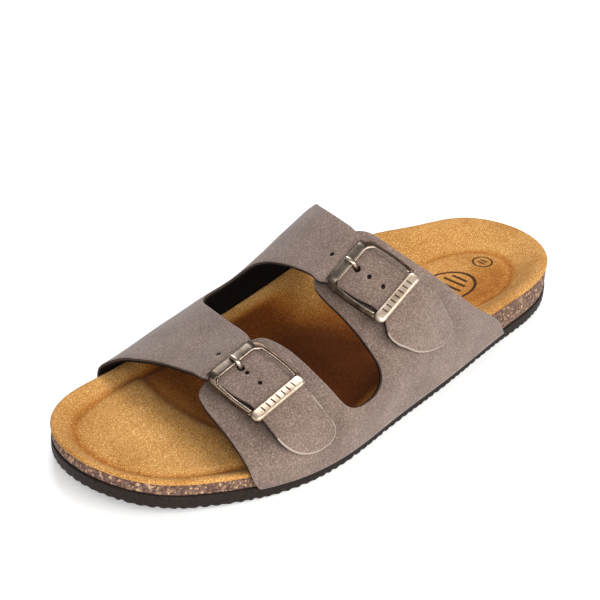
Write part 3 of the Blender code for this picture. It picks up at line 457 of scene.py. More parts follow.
def inner_edge():
    """Return the inner quarter's free edge: round both straps and the cut between them."""
    front_toe_side, front_heel_side = strap_sides(FRONT_BUCKLE)
    rear_toe_side, rear_heel_side = strap_sides(REAR_BUCKLE)
    return [
        foot_at(215.2, -1), (213.9, -45.5), (212.9, -38.7), (213.3, -28.9), (213.0, -20.9),
        (213.2, -8.0), (214.0, 2.0), (214.6, 7.4), *front_toe_side,
        (212.2, 38.0), (211.2, 42.4), (208.9, 45.7), (205.4, 48.8), (200.2, 51.8),
        (194.2, 53.5), (190.0, 53.3), (188.4, 51.2), (189.3, 48.0), (190.7, 44.5),
        *front_heel_side, (190.0, 8.4), (187.2, 2.0), (182.9, -11.0), (178.6, -22.0),
        (173.4, -31.6), (167.6, -36.4), (160.0, -38.0), (152.4, -35.4), (148.8, -28.6),
        (148.8, -20.0), (149.8, -10.8), (150.4, -0.1), (151.6, 8.0), (152.8, 12.0),
        *rear_toe_side, (148.8, 44.4), (147.2, 48.4), (144.4, 51.5), (137.6, 57.9),
        (127.4, 64.6), (119.9, 66.3), (116.0, 65.0), (115.3, 62.0), (118.2, 56.2),
        (121.0, 50.5), *rear_heel_side, (129.2, 9.6), (127.7, 3.6), (125.2, -5.0),
        (121.0, -14.0), (114.7, -23.4), (106.5, -37.4), (95.5, -53.6), (82.0, -69.8),
        foot_at(71.6, -1),
    ]


# Mesh steps of the leather, its rounded rims and how much thinner it gets along them.
GRID_STEP = 2.0
EDGE_STEP = 1.1
RIM_ROLL = 0.5
HOLE_ROLL = 0.12
THIN_WIDTH = 4.0
EDGE_THINNING = 0.10

# The stretches of the flat leather that are laid out: x, and b of the outer and inner quarter.
X_SPAN = (52.0, 240.1)
OUTER_SPAN = (-2.0, 92.0)
INNER_SPAN = (-88.0, 72.0)

# The straps' holes, and where the painted highlight on the pale rims of the tongue ends starts.
HOLE_RADIUS = 0.85
HOLE_PITCH = 6.4
TONGUE_START = 41.0

# Fill of flat outlines: height of an even triangle, and how close points come to the edges.
ROW_SHARE = 0.866
HOLE_CLEARANCE = 0.7
WALL_CLEARANCE = 0.55
LEATHER_CLEARANCE = 0.62

# The outsole's side: inset, height and share of the ribs in each row, from the bottom up.
OUTSOLE_ROWS = (
    (5.0, 0.75, 0.6), (1.5, 0.35, 1.0), (0.55, 0.45, 1.0), (0.15, 0.95, 0.9),
    (0.02, 1.6, 0.45), (0.0, 2.4, 0.12), (0.06, 3.6, 0.0), (0.0, 4.8, 0.0),
    (0.0, 5.45, 0.0), (0.25, 5.9, 0.0),
)
EDGE_RIB_PITCH = 4.0
RIB_PUSH = 0.55
CLOSING_STEP = 0.86
TOP_DROP = 0.05
TOP_INSET = 3.0

# The suede's rolled rim: inset and drop of each row, from under the rim to its top.
COVER_ROWS = (
    (3.5, 1.75), (0.9, 1.62), (0.3, 1.6), (0.04, 1.42), (0.0, 1.1), (0.03, 0.72),
    (0.2, 0.36), (0.5, 0.12), (0.95, 0.0),
)
COVER_TOP_INSET = 1.7

# The cork's side: inset and height of its lowest rows, inset and drop of its highest ones,
# and between them its inset, bulge and place.
CORK_FOOT = ((0.9, 0.15), (0.45, 0.45))
CORK_TOP = ((0.45, 1.75), (1.2, 1.65))
CORK_TOP_INSET = 4.0
CORK_DROP = 1.9
CORK_INSET = 0.38
CORK_BULGE = 0.12
CORK_LIFT = 0.3
CORK_RIM_DROP = 1.7
CORK_GRAIN = 1.15

# The heel cup's pressed line: middle x and y, half length and half width, and its profile.
HEEL_CUP = (55.0, 5.0, 34.0, 20.5)
HEEL_LINE_DEPTH = 0.8
HEEL_LINE_WIDTH = 1.5
HEEL_LINE_END = (92.0, 67.0)

# The ridge under the toes: place of its crest, its middle and its bend, and its profile.
TOE_RIDGE = (212.0, -5.0, 0.0065)
RIDGE_HEIGHT = 1.6
RIDGE_BACK = (-4.5, 0.5)
RIDGE_FRONT = (24.0, 2.0)
RIDGE_SIDE = (5.0, 13.0)

# Darker suede, partly pressed nap and partly painted shade: the heel cup's floor, with painted
# shadow on its near side, the pressed lines and where they end, and painted shadow behind the toe ridge.
CUP_SHADE = (0.1, 0.3)
CUP_NEAR_SIDE = (-6.0, 16.0)
CUP_EDGE = (1.06, 0.76)
HEEL_END = (95.0, 65.0)
HEEL_LINE_SHADE = 0.36
SHADE_LINE_WIDTH = 1.0
TOE_SHADE_START = (150.0, 180.0)
TOE_LINE_SHADE = 0.36
TOE_LINE_WIDTH = 1.4
RIDGE_LINE_SHADE = 0.3
RIDGE_LINE_BACK = 4.0
BEHIND_RIDGE_SHADE = 0.12
BEHIND_RIDGE = (-3.0, -5.0)
RIDGE_SHADE_SIDE = (7.0, 15.0)

# Painted shadow on the suede under the straps: how far in from the side it starts, at the waist and in
# front of it, its depth with its growth along x and across y, and where it begins and ends.
HOLLOW_SIDE = (14.0, 28.0)
HOLLOW_START = (50.0, 80.0)
FRONT_HOLLOW_SIDE = (4.0, 10.0)
FRONT_HOLLOW_START = (118.0, 138.0)
COVERED_SHADE = (0.35, 0.5, 0.55)
COVERED_ALONG = (120.0, 146.0)
COVERED_ACROSS = (-22.0, 18.0)
COVERED_START = (80.0, 110.0)
COVERED_END = (212.0, 167.0)
EDGE_SHADE = 0.2
EDGE_SHADE_START = (175.0, 200.0)
EDGE_SHADE_END = (215.0, 201.0)

# Plain ink marks in the heel, in the frame's millimetres: x, y, half sizes, and the width of
# a ring's line, or 0 for a bar.
STAMP_RINGS = ((-70.5, 5.5, 16.0, 10.2, 0.6), (-100.3, 3.4, 4.3, 4.3, 0.45))
STAMP_BARS = (
    (-81.0, 5.0, 0.9, 4.0, 0.0), (-76.5, 5.3, 0.9, 5.8, 0.0), (-71.5, 5.5, 0.9, 6.8, 0.0),
    (-66.5, 5.5, 0.9, 6.8, 0.0), (-61.5, 5.5, 0.9, 5.8, 0.0),
    (-101.3, 3.4, 0.5, 1.9, 0.0), (-99.3, 3.4, 0.5, 1.9, 0.0),
)
FLAT_REACH = 1000.0

# A buckle's visible pieces in its u, v and n: steps, far bar, inner wire, plaque and marks.
RAIL_STEPS = 16
CORNER_STEPS = 6
UPRIGHT = 0.3
FAR_BAR_START = (-6.5, -10.5)
FAR_BAR_HALF = 10.6
FAR_BAR_SHIFT = 0.35
WIRE_INSET = 0.95
WIRE_N = 0.62
WIRE_FAR = -9.0
WIRE_SHIFT = 0.75
PLAQUE_HALF = 12.35
PLAQUE_ROUND = 1.9
PLAQUE_PLACE = (0.15, 0.25, 0.35)
MARK_PITCH = 2.5
MARK_N = 1.44
MARK_STEPS = ((-1.25, 0.25), (-1.1, 0.5), (0.0, 0.55), (1.1, 0.5), (1.25, 0.25))

# One leg of the hinge bar, as v and n from the frame down and inwards.
HINGE_LEG = ((10.4, -0.4), (10.4, HINGE_N + 0.8), (9.9, HINGE_N + 0.1), (9.0, HINGE_N))

# The prong: its eye's radius and turn in degrees, then u, n, width and thickness to its tip.
EYE_RADIUS = HINGE_RADIUS + 0.55
EYE_TURN = (-200.0, 90.0)
PRONG_STEPS = (
    (8.0, -3.85, 1.6, 0.7), (4.0, -3.75, 1.6, 0.8), (0.0, -3.65, 1.6, 0.8),
    (-3.5, -3.65, 1.6, 0.9), (-5.9, -3.5, 1.6, 0.95), (-7.1, -2.6, 1.6, 1.0),
    (-7.7, -1.3, 1.7, 1.1), (-8.1, 0.0, 1.8, 1.2), (-8.8, 1.1, 2.0, 1.25),
    (-10.2, 1.55, 1.9, 1.2), (-11.8, 1.62, 1.7, 1.15), (-13.1, 1.5, 1.3, 0.95),
    (-13.7, 1.35, 0.7, 0.6),
)
KEEPER_ROUND = 0.15

# The studio: light from all round, and soft lamps with place, size, power and tint.
WORLD_LIGHT = 0.2
PAPER_GLOW = 0.3
FLOOR_HALF = 6.0
FLOOR_GAP = 0.0002
LAMP_TARGET = (0.0, 0.0, 0.02)
LAMPS = (
    ("side_softbox", (0.0, 1.065, 0.746), 0.7, 8.5, "#fffdfa"),
    ("far_softbox", (-0.432, -0.432, 1.148), 0.7, 11.0, "#fbfbff"),
    ("front_softbox", (0.753, 0.753, 0.746), 0.7, 10.0, "#fffdfb"),
)


class LaidFace:
    """A face laid on the last, read smoothly between the points of a grid."""

    def __init__(self, place, b_low, b_high):
        self.xs = np.arange(*X_SPAN, GRID_STEP)
        self.bs = np.arange(b_low, b_high + 0.1, GRID_STEP)
        self.points = np.array([[place(x, b) for b in self.bs] for x in self.xs])

    def at(self, spots):
        """Return the points of the inner face at an array of flat x and b."""
        spots = np.asarray(spots, float)
        places = []
        for k, line in enumerate((self.xs, self.bs)):
            t = np.clip((spots[:, k] - line[0]) / GRID_STEP, 1.0, len(line) - 2.001)
            cell = np.floor(t).astype(int)
            f = (t - cell)[:, None]
            weights = np.hstack([
                -0.5 * f + f * f - 0.5 * f ** 3, 1.0 - 2.5 * f * f + 1.5 * f ** 3,
                0.5 * f + 2.0 * f * f - 1.5 * f ** 3, 0.5 * f ** 3 - 0.5 * f * f,
            ])
            places.append((cell, weights))
        (i, wi), (j, wj) = places
        out = np.zeros((len(spots), 3))
        for p in range(4):
            for q in range(4):
                out += (wi[:, p] * wj[:, q])[:, None] * self.points[i + p - 1, j + q - 1]
        return out

    def lifted(self, spots, lift):
        """Return the points lifted off the inner face along its outward normal."""
        spots = np.asarray(spots, float)
        ahead = self.at(spots + (0.5, 0.0)) - self.at(spots - (0.5, 0.0))
        across = self.at(spots + (0.0, 0.5)) - self.at(spots - (0.0, 0.5))
        normal = np.cross(ahead, across)
        normal /= np.linalg.norm(normal, axis=1)[:, None]
        return self.at(spots) + normal * np.asarray(lift, float).reshape(-1, 1)


def inside_loop(spots, loop):
    """Return which flat spots lie inside a closed loop."""
    spots = np.asarray(spots, float)
    loop = np.asarray(loop, float)
    hit = np.zeros(len(spots), bool)
    before = np.roll(loop, 1, axis=0)
    for (ax, ay), (bx, by) in zip(before, loop):
        if ay == by:
            continue
        crosses = (ay > spots[:, 1]) != (by > spots[:, 1])
        hit ^= crosses & (spots[:, 0] < (bx - ax) * (spots[:, 1] - ay) / (by - ay) + ax)
    return hit


def distance_to_loop(spots, loop):
    """Return the distance of each flat spot from the nearest side of a closed loop."""
    spots = np.asarray(spots, float)
    loop = np.asarray(loop, float)
    best = np.full(len(spots), 1e9)
    before = np.roll(loop, 1, axis=0)
    for a, b in zip(before, loop):
        ab = b - a
        t = np.clip((spots - a) @ ab / max(ab @ ab, 1e-12), 0.0, 1.0)
        best = np.minimum(best, np.linalg.norm(spots - a - t[:, None] * ab, axis=1))
    return best


def even_run(points, step):
    """Return points at even steps along an open line of points."""
    pts = np.asarray(points, float)
    run = np.concatenate([[0.0], np.cumsum(np.linalg.norm(np.diff(pts, axis=0), axis=1))])
    at = np.linspace(0.0, run[-1], max(3, int(round(run[-1] / step))))
    return np.column_stack([np.interp(at, run, pts[:, k]) for k in range(2)])


def inward(loop):
    """Return the unit vectors that point into a closed loop from its points."""
    loop = np.asarray(loop, float)
    along = np.roll(loop, -1, axis=0) - np.roll(loop, 1, axis=0)
    along /= np.linalg.norm(along, axis=1)[:, None]
    turned = np.column_stack([-along[:, 1], along[:, 0]])
    nxt = np.roll(loop, -1, axis=0)
    area = float(np.sum(loop[:, 0] * nxt[:, 1] - nxt[:, 0] * loop[:, 1]))
    return turned if area > 0.0 else -turned


def fill_loops(outer, holes, spacing, clearance):
    """Fill a flat outline with even triangles and return all spots and the triangles."""
    low = outer.min(axis=0)
    high = outer.max(axis=0)
    rows = []
    row_step = spacing * ROW_SHARE
    for k, y in enumerate(np.arange(low[1] + 0.5 * row_step, high[1], row_step)):
        xs = np.arange(low[0] + (0.5 * spacing if k % 2 else 0.0), high[0], spacing)
        rows.append(np.column_stack([xs, np.full(len(xs), y)]))
    inner = np.vstack(rows)
    keep = inside_loop(inner, outer) & (distance_to_loop(inner, outer) > clearance)
    for hole in holes:
        away = distance_to_loop(inner, hole) > clearance * HOLE_CLEARANCE
        keep &= away & ~inside_loop(inner, hole)
    flat = np.vstack([outer, *holes, inner[keep]])
    sides = []
    start = 0
    for loop in (outer, *holes):
        count = len(loop)
        sides.extend((start + k, start + (k + 1) % count) for k in range(count))
        start += count
    found = delaunay_2d_cdt([Vector(p) for p in flat], sides, [], 0, 1e-7)
    if len(found[0]) != len(flat):
        raise ValueError("an outline crosses itself")
    order = [source[0] for source in found[3]]
    faces = np.array([[order[i] for i in face] for face in found[2]])
    middles = flat[faces].mean(axis=1)
    keep = inside_loop(middles, outer)
    for hole in holes:
        keep &= ~inside_loop(middles, hole)
    return flat, faces[keep]


def to_frame(points):
    """Turn millimetres from the heel's back into the frame's metres."""
    return (np.asarray(points, float) - (HEEL_REACH, 0.0, 0.0)) * MM


def make_mesh(name, points, groups, materials):
    """Make a smooth mesh object from points in millimetres and (faces, material number) groups."""
    faces = [tuple(int(i) for i in face) for group, _ in groups for face in group]
    numbers = [number for group, number in groups for _ in group]
    mesh = bpy.data.meshes.new(name)
    mesh.from_pydata(to_frame(points).tolist(), [], faces)
    mesh.polygons.foreach_set("material_index", numbers)
    mesh.polygons.foreach_set("use_smooth", [True] * len(faces))
    for material in materials:
        mesh.materials.append(material)
    work = bmesh.new()
    work.from_mesh(mesh)
    bmesh.ops.remove_doubles(work, verts=work.verts, dist=1e-6)
    bmesh.ops.recalc_face_normals(work, faces=work.faces)
    work.to_mesh(mesh)
    work.free()
    mesh.validate()
    obj = bpy.data.objects.new(name, mesh)
    bpy.context.scene.collection.objects.link(obj)
    return obj


def settle(obj, node):
    """Let a piece ride on the frame in place of its CAD node."""
    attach(obj, "root")
    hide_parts(node)


# Colours and materials.

MATH = "ShaderNodeMath"
MIX = "ShaderNodeMix"
NOISE = "ShaderNodeTexNoise"
RAMP = "ShaderNodeValToRGB"


def colour(code):
    """Turn an sRGB hex colour into linear red, green, blue and alpha."""
    parts = [int(code[k:k + 2], 16) / 255.0 for k in (1, 3, 5)]
    linear = [p / 12.92 if p <= 0.04045 else ((p + 0.055) / 1.055) ** 2.4 for p in parts]
    return (*linear, 1.0)


def set_socket(material, socket, value):
    """Link a socket to another one, or set it to a hex colour or a plain value."""
    if isinstance(value, bpy.types.NodeSocket):
        material.node_tree.links.new(value, socket)
    else:
        socket.default_value = colour(value) if isinstance(value, str) else value


def add_node(material, kind, inputs, output=0, stops=(), **settings):
    """Add a node with its settings, inputs and ramp stops, and return one of its outputs."""
    node = material.node_tree.nodes.new(kind)
    for key, value in settings.items():
        setattr(node, key, value)
    for key, value in inputs.items():
        set_socket(material, node.inputs[key], value)
    for _ in stops[2:]:
        node.color_ramp.elements.new(0.5)
    for k, (place, code) in enumerate(stops):
        node.color_ramp.elements[k].position = place
        node.color_ramp.elements[k].color = colour(code)
    return node.outputs[output]


def blank(name, **shader_values):
    """Make a material with fixed shader values, and return it and its object's own place."""
    material = bpy.data.materials.new(name)
    material.use_nodes = True
    shader = material.node_tree.nodes["Principled BSDF"]
    for key, value in shader_values.items():
        set_socket(material, shader.inputs[key.replace("_", " ")], value)
    return material, add_node(material, "ShaderNodeTexCoord", {}, "Object")


def grain(place, size_mm, detail=3.0, roughness=0.6):
    """Return the inputs of a noise whose grains are about size_mm across."""
    return {"Vector": place, "Scale": 1.0 / (size_mm * MM), "Detail": detail, "Roughness": roughness}


def tinted(material, base, pattern, share, tint, limit=None):
    """Return a colour with a share of a tint, by a pattern or only where it is over a limit."""
    if limit is not None:
        pattern = add_node(material, MATH, {0: pattern, 1: limit}, operation="GREATER_THAN")
    factor = add_node(material, MATH, {0: pattern, 1: share}, operation="MULTIPLY")
    return add_node(material, MIX, {0: factor, 6: base, 7: tint}, 2, data_type="RGBA")


def finish(material, base, height, depth_mm, strength):
    """Put the base colour and a bump of a real depth on the shader and return the material."""
    shader = material.node_tree.nodes["Principled BSDF"]
    bump = add_node(material, "ShaderNodeBump",
                    {"Height": height, "Distance": depth_mm * MM, "Strength": strength})
    set_socket(material, shader.inputs["Base Color"], base)
    set_socket(material, shader.inputs["Normal"], bump)
    return material


def brushed_leather(name, settings):
    """Nubuck: brushed grain leather, a short nap that scatters light, with no gloss."""
    material, place = blank(name, Roughness=0.9, Specular_IOR_Level=0.25,
                            Sheen_Weight=0.25, Sheen_Roughness=0.5)
    cloud = add_node(material, NOISE, grain(place, 20.0, 4.0))
    # The real nap is about 0.1 mm, too fine to show, so it is drawn six times coarser.
    nap = add_node(material, NOISE, grain(place, 0.62, 2.0))
    fleck = add_node(material, NOISE, grain(place, 0.7, 1.0))
    base = add_node(material, RAMP, {0: cloud}, stops=(
        (0.3, settings.leather_dark), (0.7, settings.leather_light)))
    fine = add_node(material, RAMP, {0: nap}, stops=(
        (0.36, "#3c332e"), (0.50, "#86807a"), (0.64, "#dcd5cf")))
    mixed = add_node(material, MIX, {0: 0.55, 6: base, 7: fine}, 2,
                     data_type="RGBA", blend_type="SOFT_LIGHT")
    mixed = tinted(material, mixed, fleck, 0.22, "#bfb4ac", 0.64)
    return finish(material, mixed, nap, 0.08, 0.6)


def cut_edge(name, code):
    """The cut side of leather: raw fibres under a thin stain."""
    material, place = blank(name, Roughness=0.85, Specular_IOR_Level=0.3)
    # Real fibres are too fine to show, so they are drawn 0.4 mm across.
    fibres = add_node(material, NOISE, grain(place, 0.4, 3.0, 0.7))
    return finish(material, tinted(material, code, fibres, 0.5, "#6d5a50"), fibres, 0.12, 0.6)


def felt(name):
    """Lining felt: near-black pressed fibres with no gloss."""
    material, place = blank(name, Roughness=1.0, Specular_IOR_Level=0.1)
    # Real fibres are too fine to show, so they are drawn as tufts 0.8 mm across.
    fibres = add_node(material, NOISE, grain(place, 0.8, 4.0, 0.8))
    tone = add_node(material, RAMP, {0: fibres}, stops=((0.3, "#060504"), (0.7, "#1a1513")))
    return finish(material, tone, fibres, 0.15, 0.7)


def stamp_mask(material, place):
    """Return a mask of the plain ink marks in the heel: two rings and the bars inside them."""
    total = 0.0
    for x, y, half_x, half_y, line in STAMP_RINGS + STAMP_BARS:
        away = add_node(material, "ShaderNodeMapping", {
            "Vector": place, "Location": (x * MM, y * MM, 0.0),
            "Scale": (half_x * MM, half_y * MM, FLAT_REACH)}, vector_type="TEXTURE")
        if line > 0.0:
            far = add_node(material, "ShaderNodeVectorMath", {0: away}, "Value", operation="LENGTH")
            mark = add_node(material, MATH, {0: far, 1: 1.0, 2: line / min(half_x, half_y)},
                            operation="COMPARE")
        else:
            sides = add_node(material, "ShaderNodeVectorMath", {0: away}, operation="ABSOLUTE")
            split = add_node(material, "ShaderNodeSeparateXYZ", {0: sides}).node
            far = add_node(material, MATH, {0: split.outputs["X"], 1: split.outputs["Y"]},
                           operation="MAXIMUM")
            mark = add_node(material, MATH, {0: far, 1: 1.0}, operation="LESS_THAN")
        total = add_node(material, MATH, {0: total, 1: mark}, operation="MAXIMUM")
    return total


def suede(name, settings):
    """Split suede: a raised ochre nap with darker rubbed specks, no gloss at all."""
    material, place = blank(name, Roughness=0.95, Specular_IOR_Level=0.06,
                            Sheen_Weight=0.03, Sheen_Roughness=0.6)
    cloud = add_node(material, NOISE, grain(place, 30.0, 4.0))
    # The fibres are about 0.1 mm, too fine to show, so the nap is drawn five times coarser.
    nap = add_node(material, NOISE, grain(place, 0.52, 2.0, 0.7))
    speck = add_node(material, NOISE, grain(place, 0.5, 1.0))
    base = add_node(material, RAMP, {0: cloud}, stops=(
        (0.3, settings.suede_dark), (0.7, settings.suede_light)))
    fine = add_node(material, RAMP, {0: nap}, stops=(
        (0.36, "#2a1f12"), (0.50, "#8a8072"), (0.64, "#fff6e6")))
    mixed = add_node(material, MIX, {0: 0.8, 6: base, 7: fine}, 2,
                     data_type="RGBA", blend_type="SOFT_LIGHT")
    mixed = tinted(material, mixed, speck, 0.35, "#7d4a1c", 0.60)
    # Painted shade: a point attribute darkens the suede through this ramp, as painted shadow under the
    # straps, behind the toe ridge and on the heel cup's near side, and as partly pressed nap, partly
    # painted shade on the heel cup's floor and along the pressed lines.
    wear_and_painted_shade = add_node(material, "ShaderNodeAttribute", {}, "Fac", attribute_name="bed_wear_and_painted_shade")
    deep = add_node(material, RAMP, {0: wear_and_painted_shade}, stops=(
        (0.0, "#ffffff"), (0.25, "#e4cfae"), (0.5, "#c7a27c"), (0.75, "#9a7450"), (1.0, "#7c5632")))
    mixed = add_node(material, MIX, {0: 1.0, 6: mixed, 7: deep}, 2,
                     data_type="RGBA", blend_type="MULTIPLY")
    unworn = add_node(material, MATH, {0: nap, 1: 0.34}, operation="GREATER_THAN")
    ink = add_node(material, MATH, {0: stamp_mask(material, place), 1: unworn},
                   operation="MULTIPLY")
    mixed = tinted(material, mixed, ink, 0.92, "#2a1a12")
    return finish(material, mixed, nap, 0.12, 0.7)


def cork_board(name):
    """Ground cork set in latex: brown grains about a millimetre wide with pale flecks."""
    material, place = blank(name, Roughness=0.8, Specular_IOR_Level=0.3)
    cells = add_node(material, "ShaderNodeTexVoronoi",
                     {"Vector": place, "Scale": 1.0 / (CORK_GRAIN * MM), "Randomness": 1.0}).node
    gap = cells.outputs["Distance"]
    pick = add_node(material, "ShaderNodeSeparateColor", {0: cells.outputs["Color"]})
    tone = add_node(material, RAMP, {0: pick}, stops=(
        (0.0, "#5a4237"), (0.25, "#73574a"), (0.5, "#826558"), (0.74, "#664b3f"),
        (0.88, "#a98768"), (0.95, "#d9b78f")))
    tone.node.color_ramp.interpolation = "CONSTANT"
    fine = add_node(material, NOISE, grain(place, 0.8, 3.0, 0.7))
    chip = add_node(material, NOISE, grain(place, 1.3, 1.0, 0.5))
    mixed = tinted(material, tone, fine, 0.75, "#6b5246")
    mixed = tinted(material, mixed, chip, 0.8, "#cda27a", 0.63)
    mixed = tinted(material, mixed, gap, 0.6, "#3c2820", 0.62)
    return finish(material, mixed, gap, -0.25, 0.6)


def moulded_rubber(name, settings):
    """Moulded sole rubber: nearly black brown, matt, with a fine cast grain."""
    material, place = blank(name, Roughness=0.7, Specular_IOR_Level=0.25)
    cast = add_node(material, NOISE, grain(place, 1.2, 3.0, 0.65))
    tone = add_node(material, RAMP, {0: cast}, stops=(
        (0.35, settings.rubber_dark), (0.7, settings.rubber_light)))
    return finish(material, tone, cast, 0.18, 0.6)


def aged_bronze(name, low, high, rough):
    """Antique bronze plating: cast zinc, plated, darkened and rubbed back on its edges."""
    material, place = blank(name, Metallic=1.0, Roughness=rough)
    cloud = add_node(material, NOISE, grain(place, 4.8, 4.0, 0.65))
    # The grit of the casting is finer than 0.1 mm, so it is drawn at 0.5 mm to show.
    grit = add_node(material, NOISE, grain(place, 0.5, 2.0))
    tone = add_node(material, RAMP, {0: cloud}, stops=((0.33, low), (0.67, high)))
    return finish(material, tone, grit, 0.03, 0.5)


class SandalSizes(bpy.types.PropertyGroup):
    """Sizes of the pieces that a user would change."""

    leather_step: FloatProperty(
        name="Leather mesh step", description="Distance between points of the leather",
        default=1.7 * MM, min=1.0 * MM, max=6.0 * MM, precision=5, subtype="DISTANCE")
    bed_step: FloatProperty(
        name="Footbed mesh step", description="Distance between points of the footbed",
        default=1.9 * MM, min=1.0 * MM, max=6.0 * MM, precision=5, subtype="DISTANCE")
    leather_thick: FloatProperty(
        name="Leather thickness", description="Thickness of strap and lining",
        default=LEATHER * MM, min=1.0 * MM, max=3.5 * MM, precision=5, subtype="DISTANCE")
    rib_depth: FloatProperty(
        name="Rib depth", description="Depth of the ribs round the outsole",
        default=0.34 * MM, min=0.0, max=1.5 * MM, precision=5, subtype="DISTANCE")
    plaque_ribs: IntProperty(
        name="Plaque ribs", description="Number of plain ribs on each buckle's near bar",
        default=7, min=0, max=16)


class SandalColours(bpy.types.PropertyGroup):
    """Colours of the finishes, as sRGB hex."""

    leather_dark: StringProperty(
        name="Leather, dark", description="Darker leather tone", default="#736158")
    leather_light: StringProperty(
        name="Leather, light", description="Lighter leather tone", default="#8f7d73")
    suede_dark: StringProperty(
        name="Suede, dark", description="Darker footbed tone", default="#b98a4e")
    suede_light: StringProperty(
        name="Suede, light", description="Lighter footbed tone", default="#d7ab6f")
    rubber_dark: StringProperty(
        name="Rubber, dark", description="Darker outsole tone", default="#140d09")
    rubber_light: StringProperty(
        name="Rubber, light", description="Lighter outsole tone", default="#2a1d16")


def size_mm(name):
    """Return one of the sizes that the user has set, in millimetres."""
    return round(getattr(bpy.context.scene.sandal_sizes, name) / MM, 4)


def colours():
    """Return the colours that the user has set."""
    return bpy.context.scene.sandal_colours


def sole_loop(inset):
    """Return the sole's outline, moved inwards, as points about a millimetre apart."""
    loop = OUTLINE_CURVE[::2]
    return loop + inset * inward(loop)


def cup_reach(x, y):
    """Return how far out a flat spot lies in the heel cup, with 1 on its pressed line."""
    return math.hypot((x - HEEL_CUP[0]) / HEEL_CUP[2], (y - HEEL_CUP[1]) / HEEL_CUP[3])


def past_ridge(x, y):
    """Return how far a flat spot lies in front of the toe ridge's crest."""
    return x - TOE_RIDGE[0] + TOE_RIDGE[2] * (y - TOE_RIDGE[1]) ** 2


def from_side(x, y):
    """Return how far a flat spot lies from the nearer side of the sole, straight across."""
    return min(side_y(x, 1) - y, y - side_y(x, -1))


def line_mark(off, width):
    """Return the strength of a pressed line at a distance from its middle."""
    return math.exp(-(off / width) ** 2)


def bed_crease(x, y):
    """Return how far the heel's pressed line and the toe ridge lower the bed at a flat spot."""
    off = (cup_reach(x, y) - 1.0) * HEEL_CUP[3]
    line = HEEL_LINE_DEPTH * line_mark(off, HEEL_LINE_WIDTH) * rise(x, *HEEL_LINE_END)
    past = past_ridge(x, y)
    ridge = RIDGE_HEIGHT * rise(past, *RIDGE_BACK) * rise(past, *RIDGE_FRONT)
    return line - ridge * rise(from_side(x, y), *RIDGE_SIDE)


def bed_height(spots):
    """Return the heights of the footbed's upper face at flat spots."""
    return np.array([footbed_height(x, y) - bed_crease(x, y)
                     for x, y in np.asarray(spots, float).tolist()])


def bed_wear_and_painted_shade(x, y):
    """Return how much pressing and painted shade darken the suede at a flat spot, from 0 to 1.

    It is painted shadow under the straps, behind the toe ridge and on the heel cup's near side, and
    partly pressed nap, partly painted shade on the floor of the heel cup and along the pressed lines.
    """
    reach = cup_reach(x, y)
    cup = CUP_SHADE[0] + CUP_SHADE[1] * rise(y - HEEL_CUP[1], *CUP_NEAR_SIDE)
    line = HEEL_LINE_SHADE * line_mark((reach - 1.0) * HEEL_CUP[3], SHADE_LINE_WIDTH)
    shade = (cup * rise(reach, *CUP_EDGE) + line) * rise(x, *HEEL_END)
    inside = from_side(x, y)
    hollow = max(rise(inside, *HOLLOW_SIDE) * rise(x, *HOLLOW_START),
                 rise(inside, *FRONT_HOLLOW_SIDE) * rise(x, *FRONT_HOLLOW_START))
    deep = (COVERED_SHADE[0] + COVERED_SHADE[1] * rise(x, *COVERED_ALONG)
            + COVERED_SHADE[2] * rise(y, *COVERED_ACROSS))
    covered = min(deep, 1.0) * rise(x, *COVERED_START) * rise(x, *COVERED_END)
    strap_edge = EDGE_SHADE * rise(x, *EDGE_SHADE_START) * rise(x, *EDGE_SHADE_END)
    shade += hollow * (covered + strap_edge)
    if x > TOE_SHADE_START[0]:
        past = past_ridge(x, y)
        ridge = (RIDGE_LINE_SHADE * line_mark(past + RIDGE_LINE_BACK, TOE_LINE_WIDTH)
                 + BEHIND_RIDGE_SHADE * rise(past, *BEHIND_RIDGE))
        slope = slope_outer if y > 0.0 else slope_inner
        line = TOE_LINE_SHADE * line_mark(from_outline(x, y) - float(slope(x)), TOE_LINE_WIDTH)
        shade += (ridge * rise(inside, *RIDGE_SHADE_SIDE) + line) * rise(x, *TOE_SHADE_START)
    return min(shade, 1.0)


def walled_solid(name, rows, top_height, bottom_height, material, top_step, bottom_step):
    """Make a solid from rows of wall points, closed by a fitted top and a fitted bottom.

    The first row is the bottom's edge and the last row the top's.
    """
    count = len(rows[0])
    points = list(rows)
    start = np.arange(count)
    ahead = (start + 1) % count
    faces = []
    for r in range(len(rows) - 1):
        low = r * count
        high = low + count
        faces.extend(zip(low + start, low + ahead, high + ahead, high + start))
    total = len(rows) * count
    for row, height, step in ((0, bottom_height, bottom_step), (len(rows) - 1, top_height, top_step)):
        flat, fill = fill_loops(rows[row][:, :2], [], step, WALL_CLEARANCE * step)
        inner = flat[count:]
        points.append(np.column_stack([inner, height(inner)]))
        faces.extend(np.where(fill < count, fill + row * count, fill + total - count))
        total += len(inner)
    return make_mesh(name, np.vstack(points), [(faces, 0)], [material])


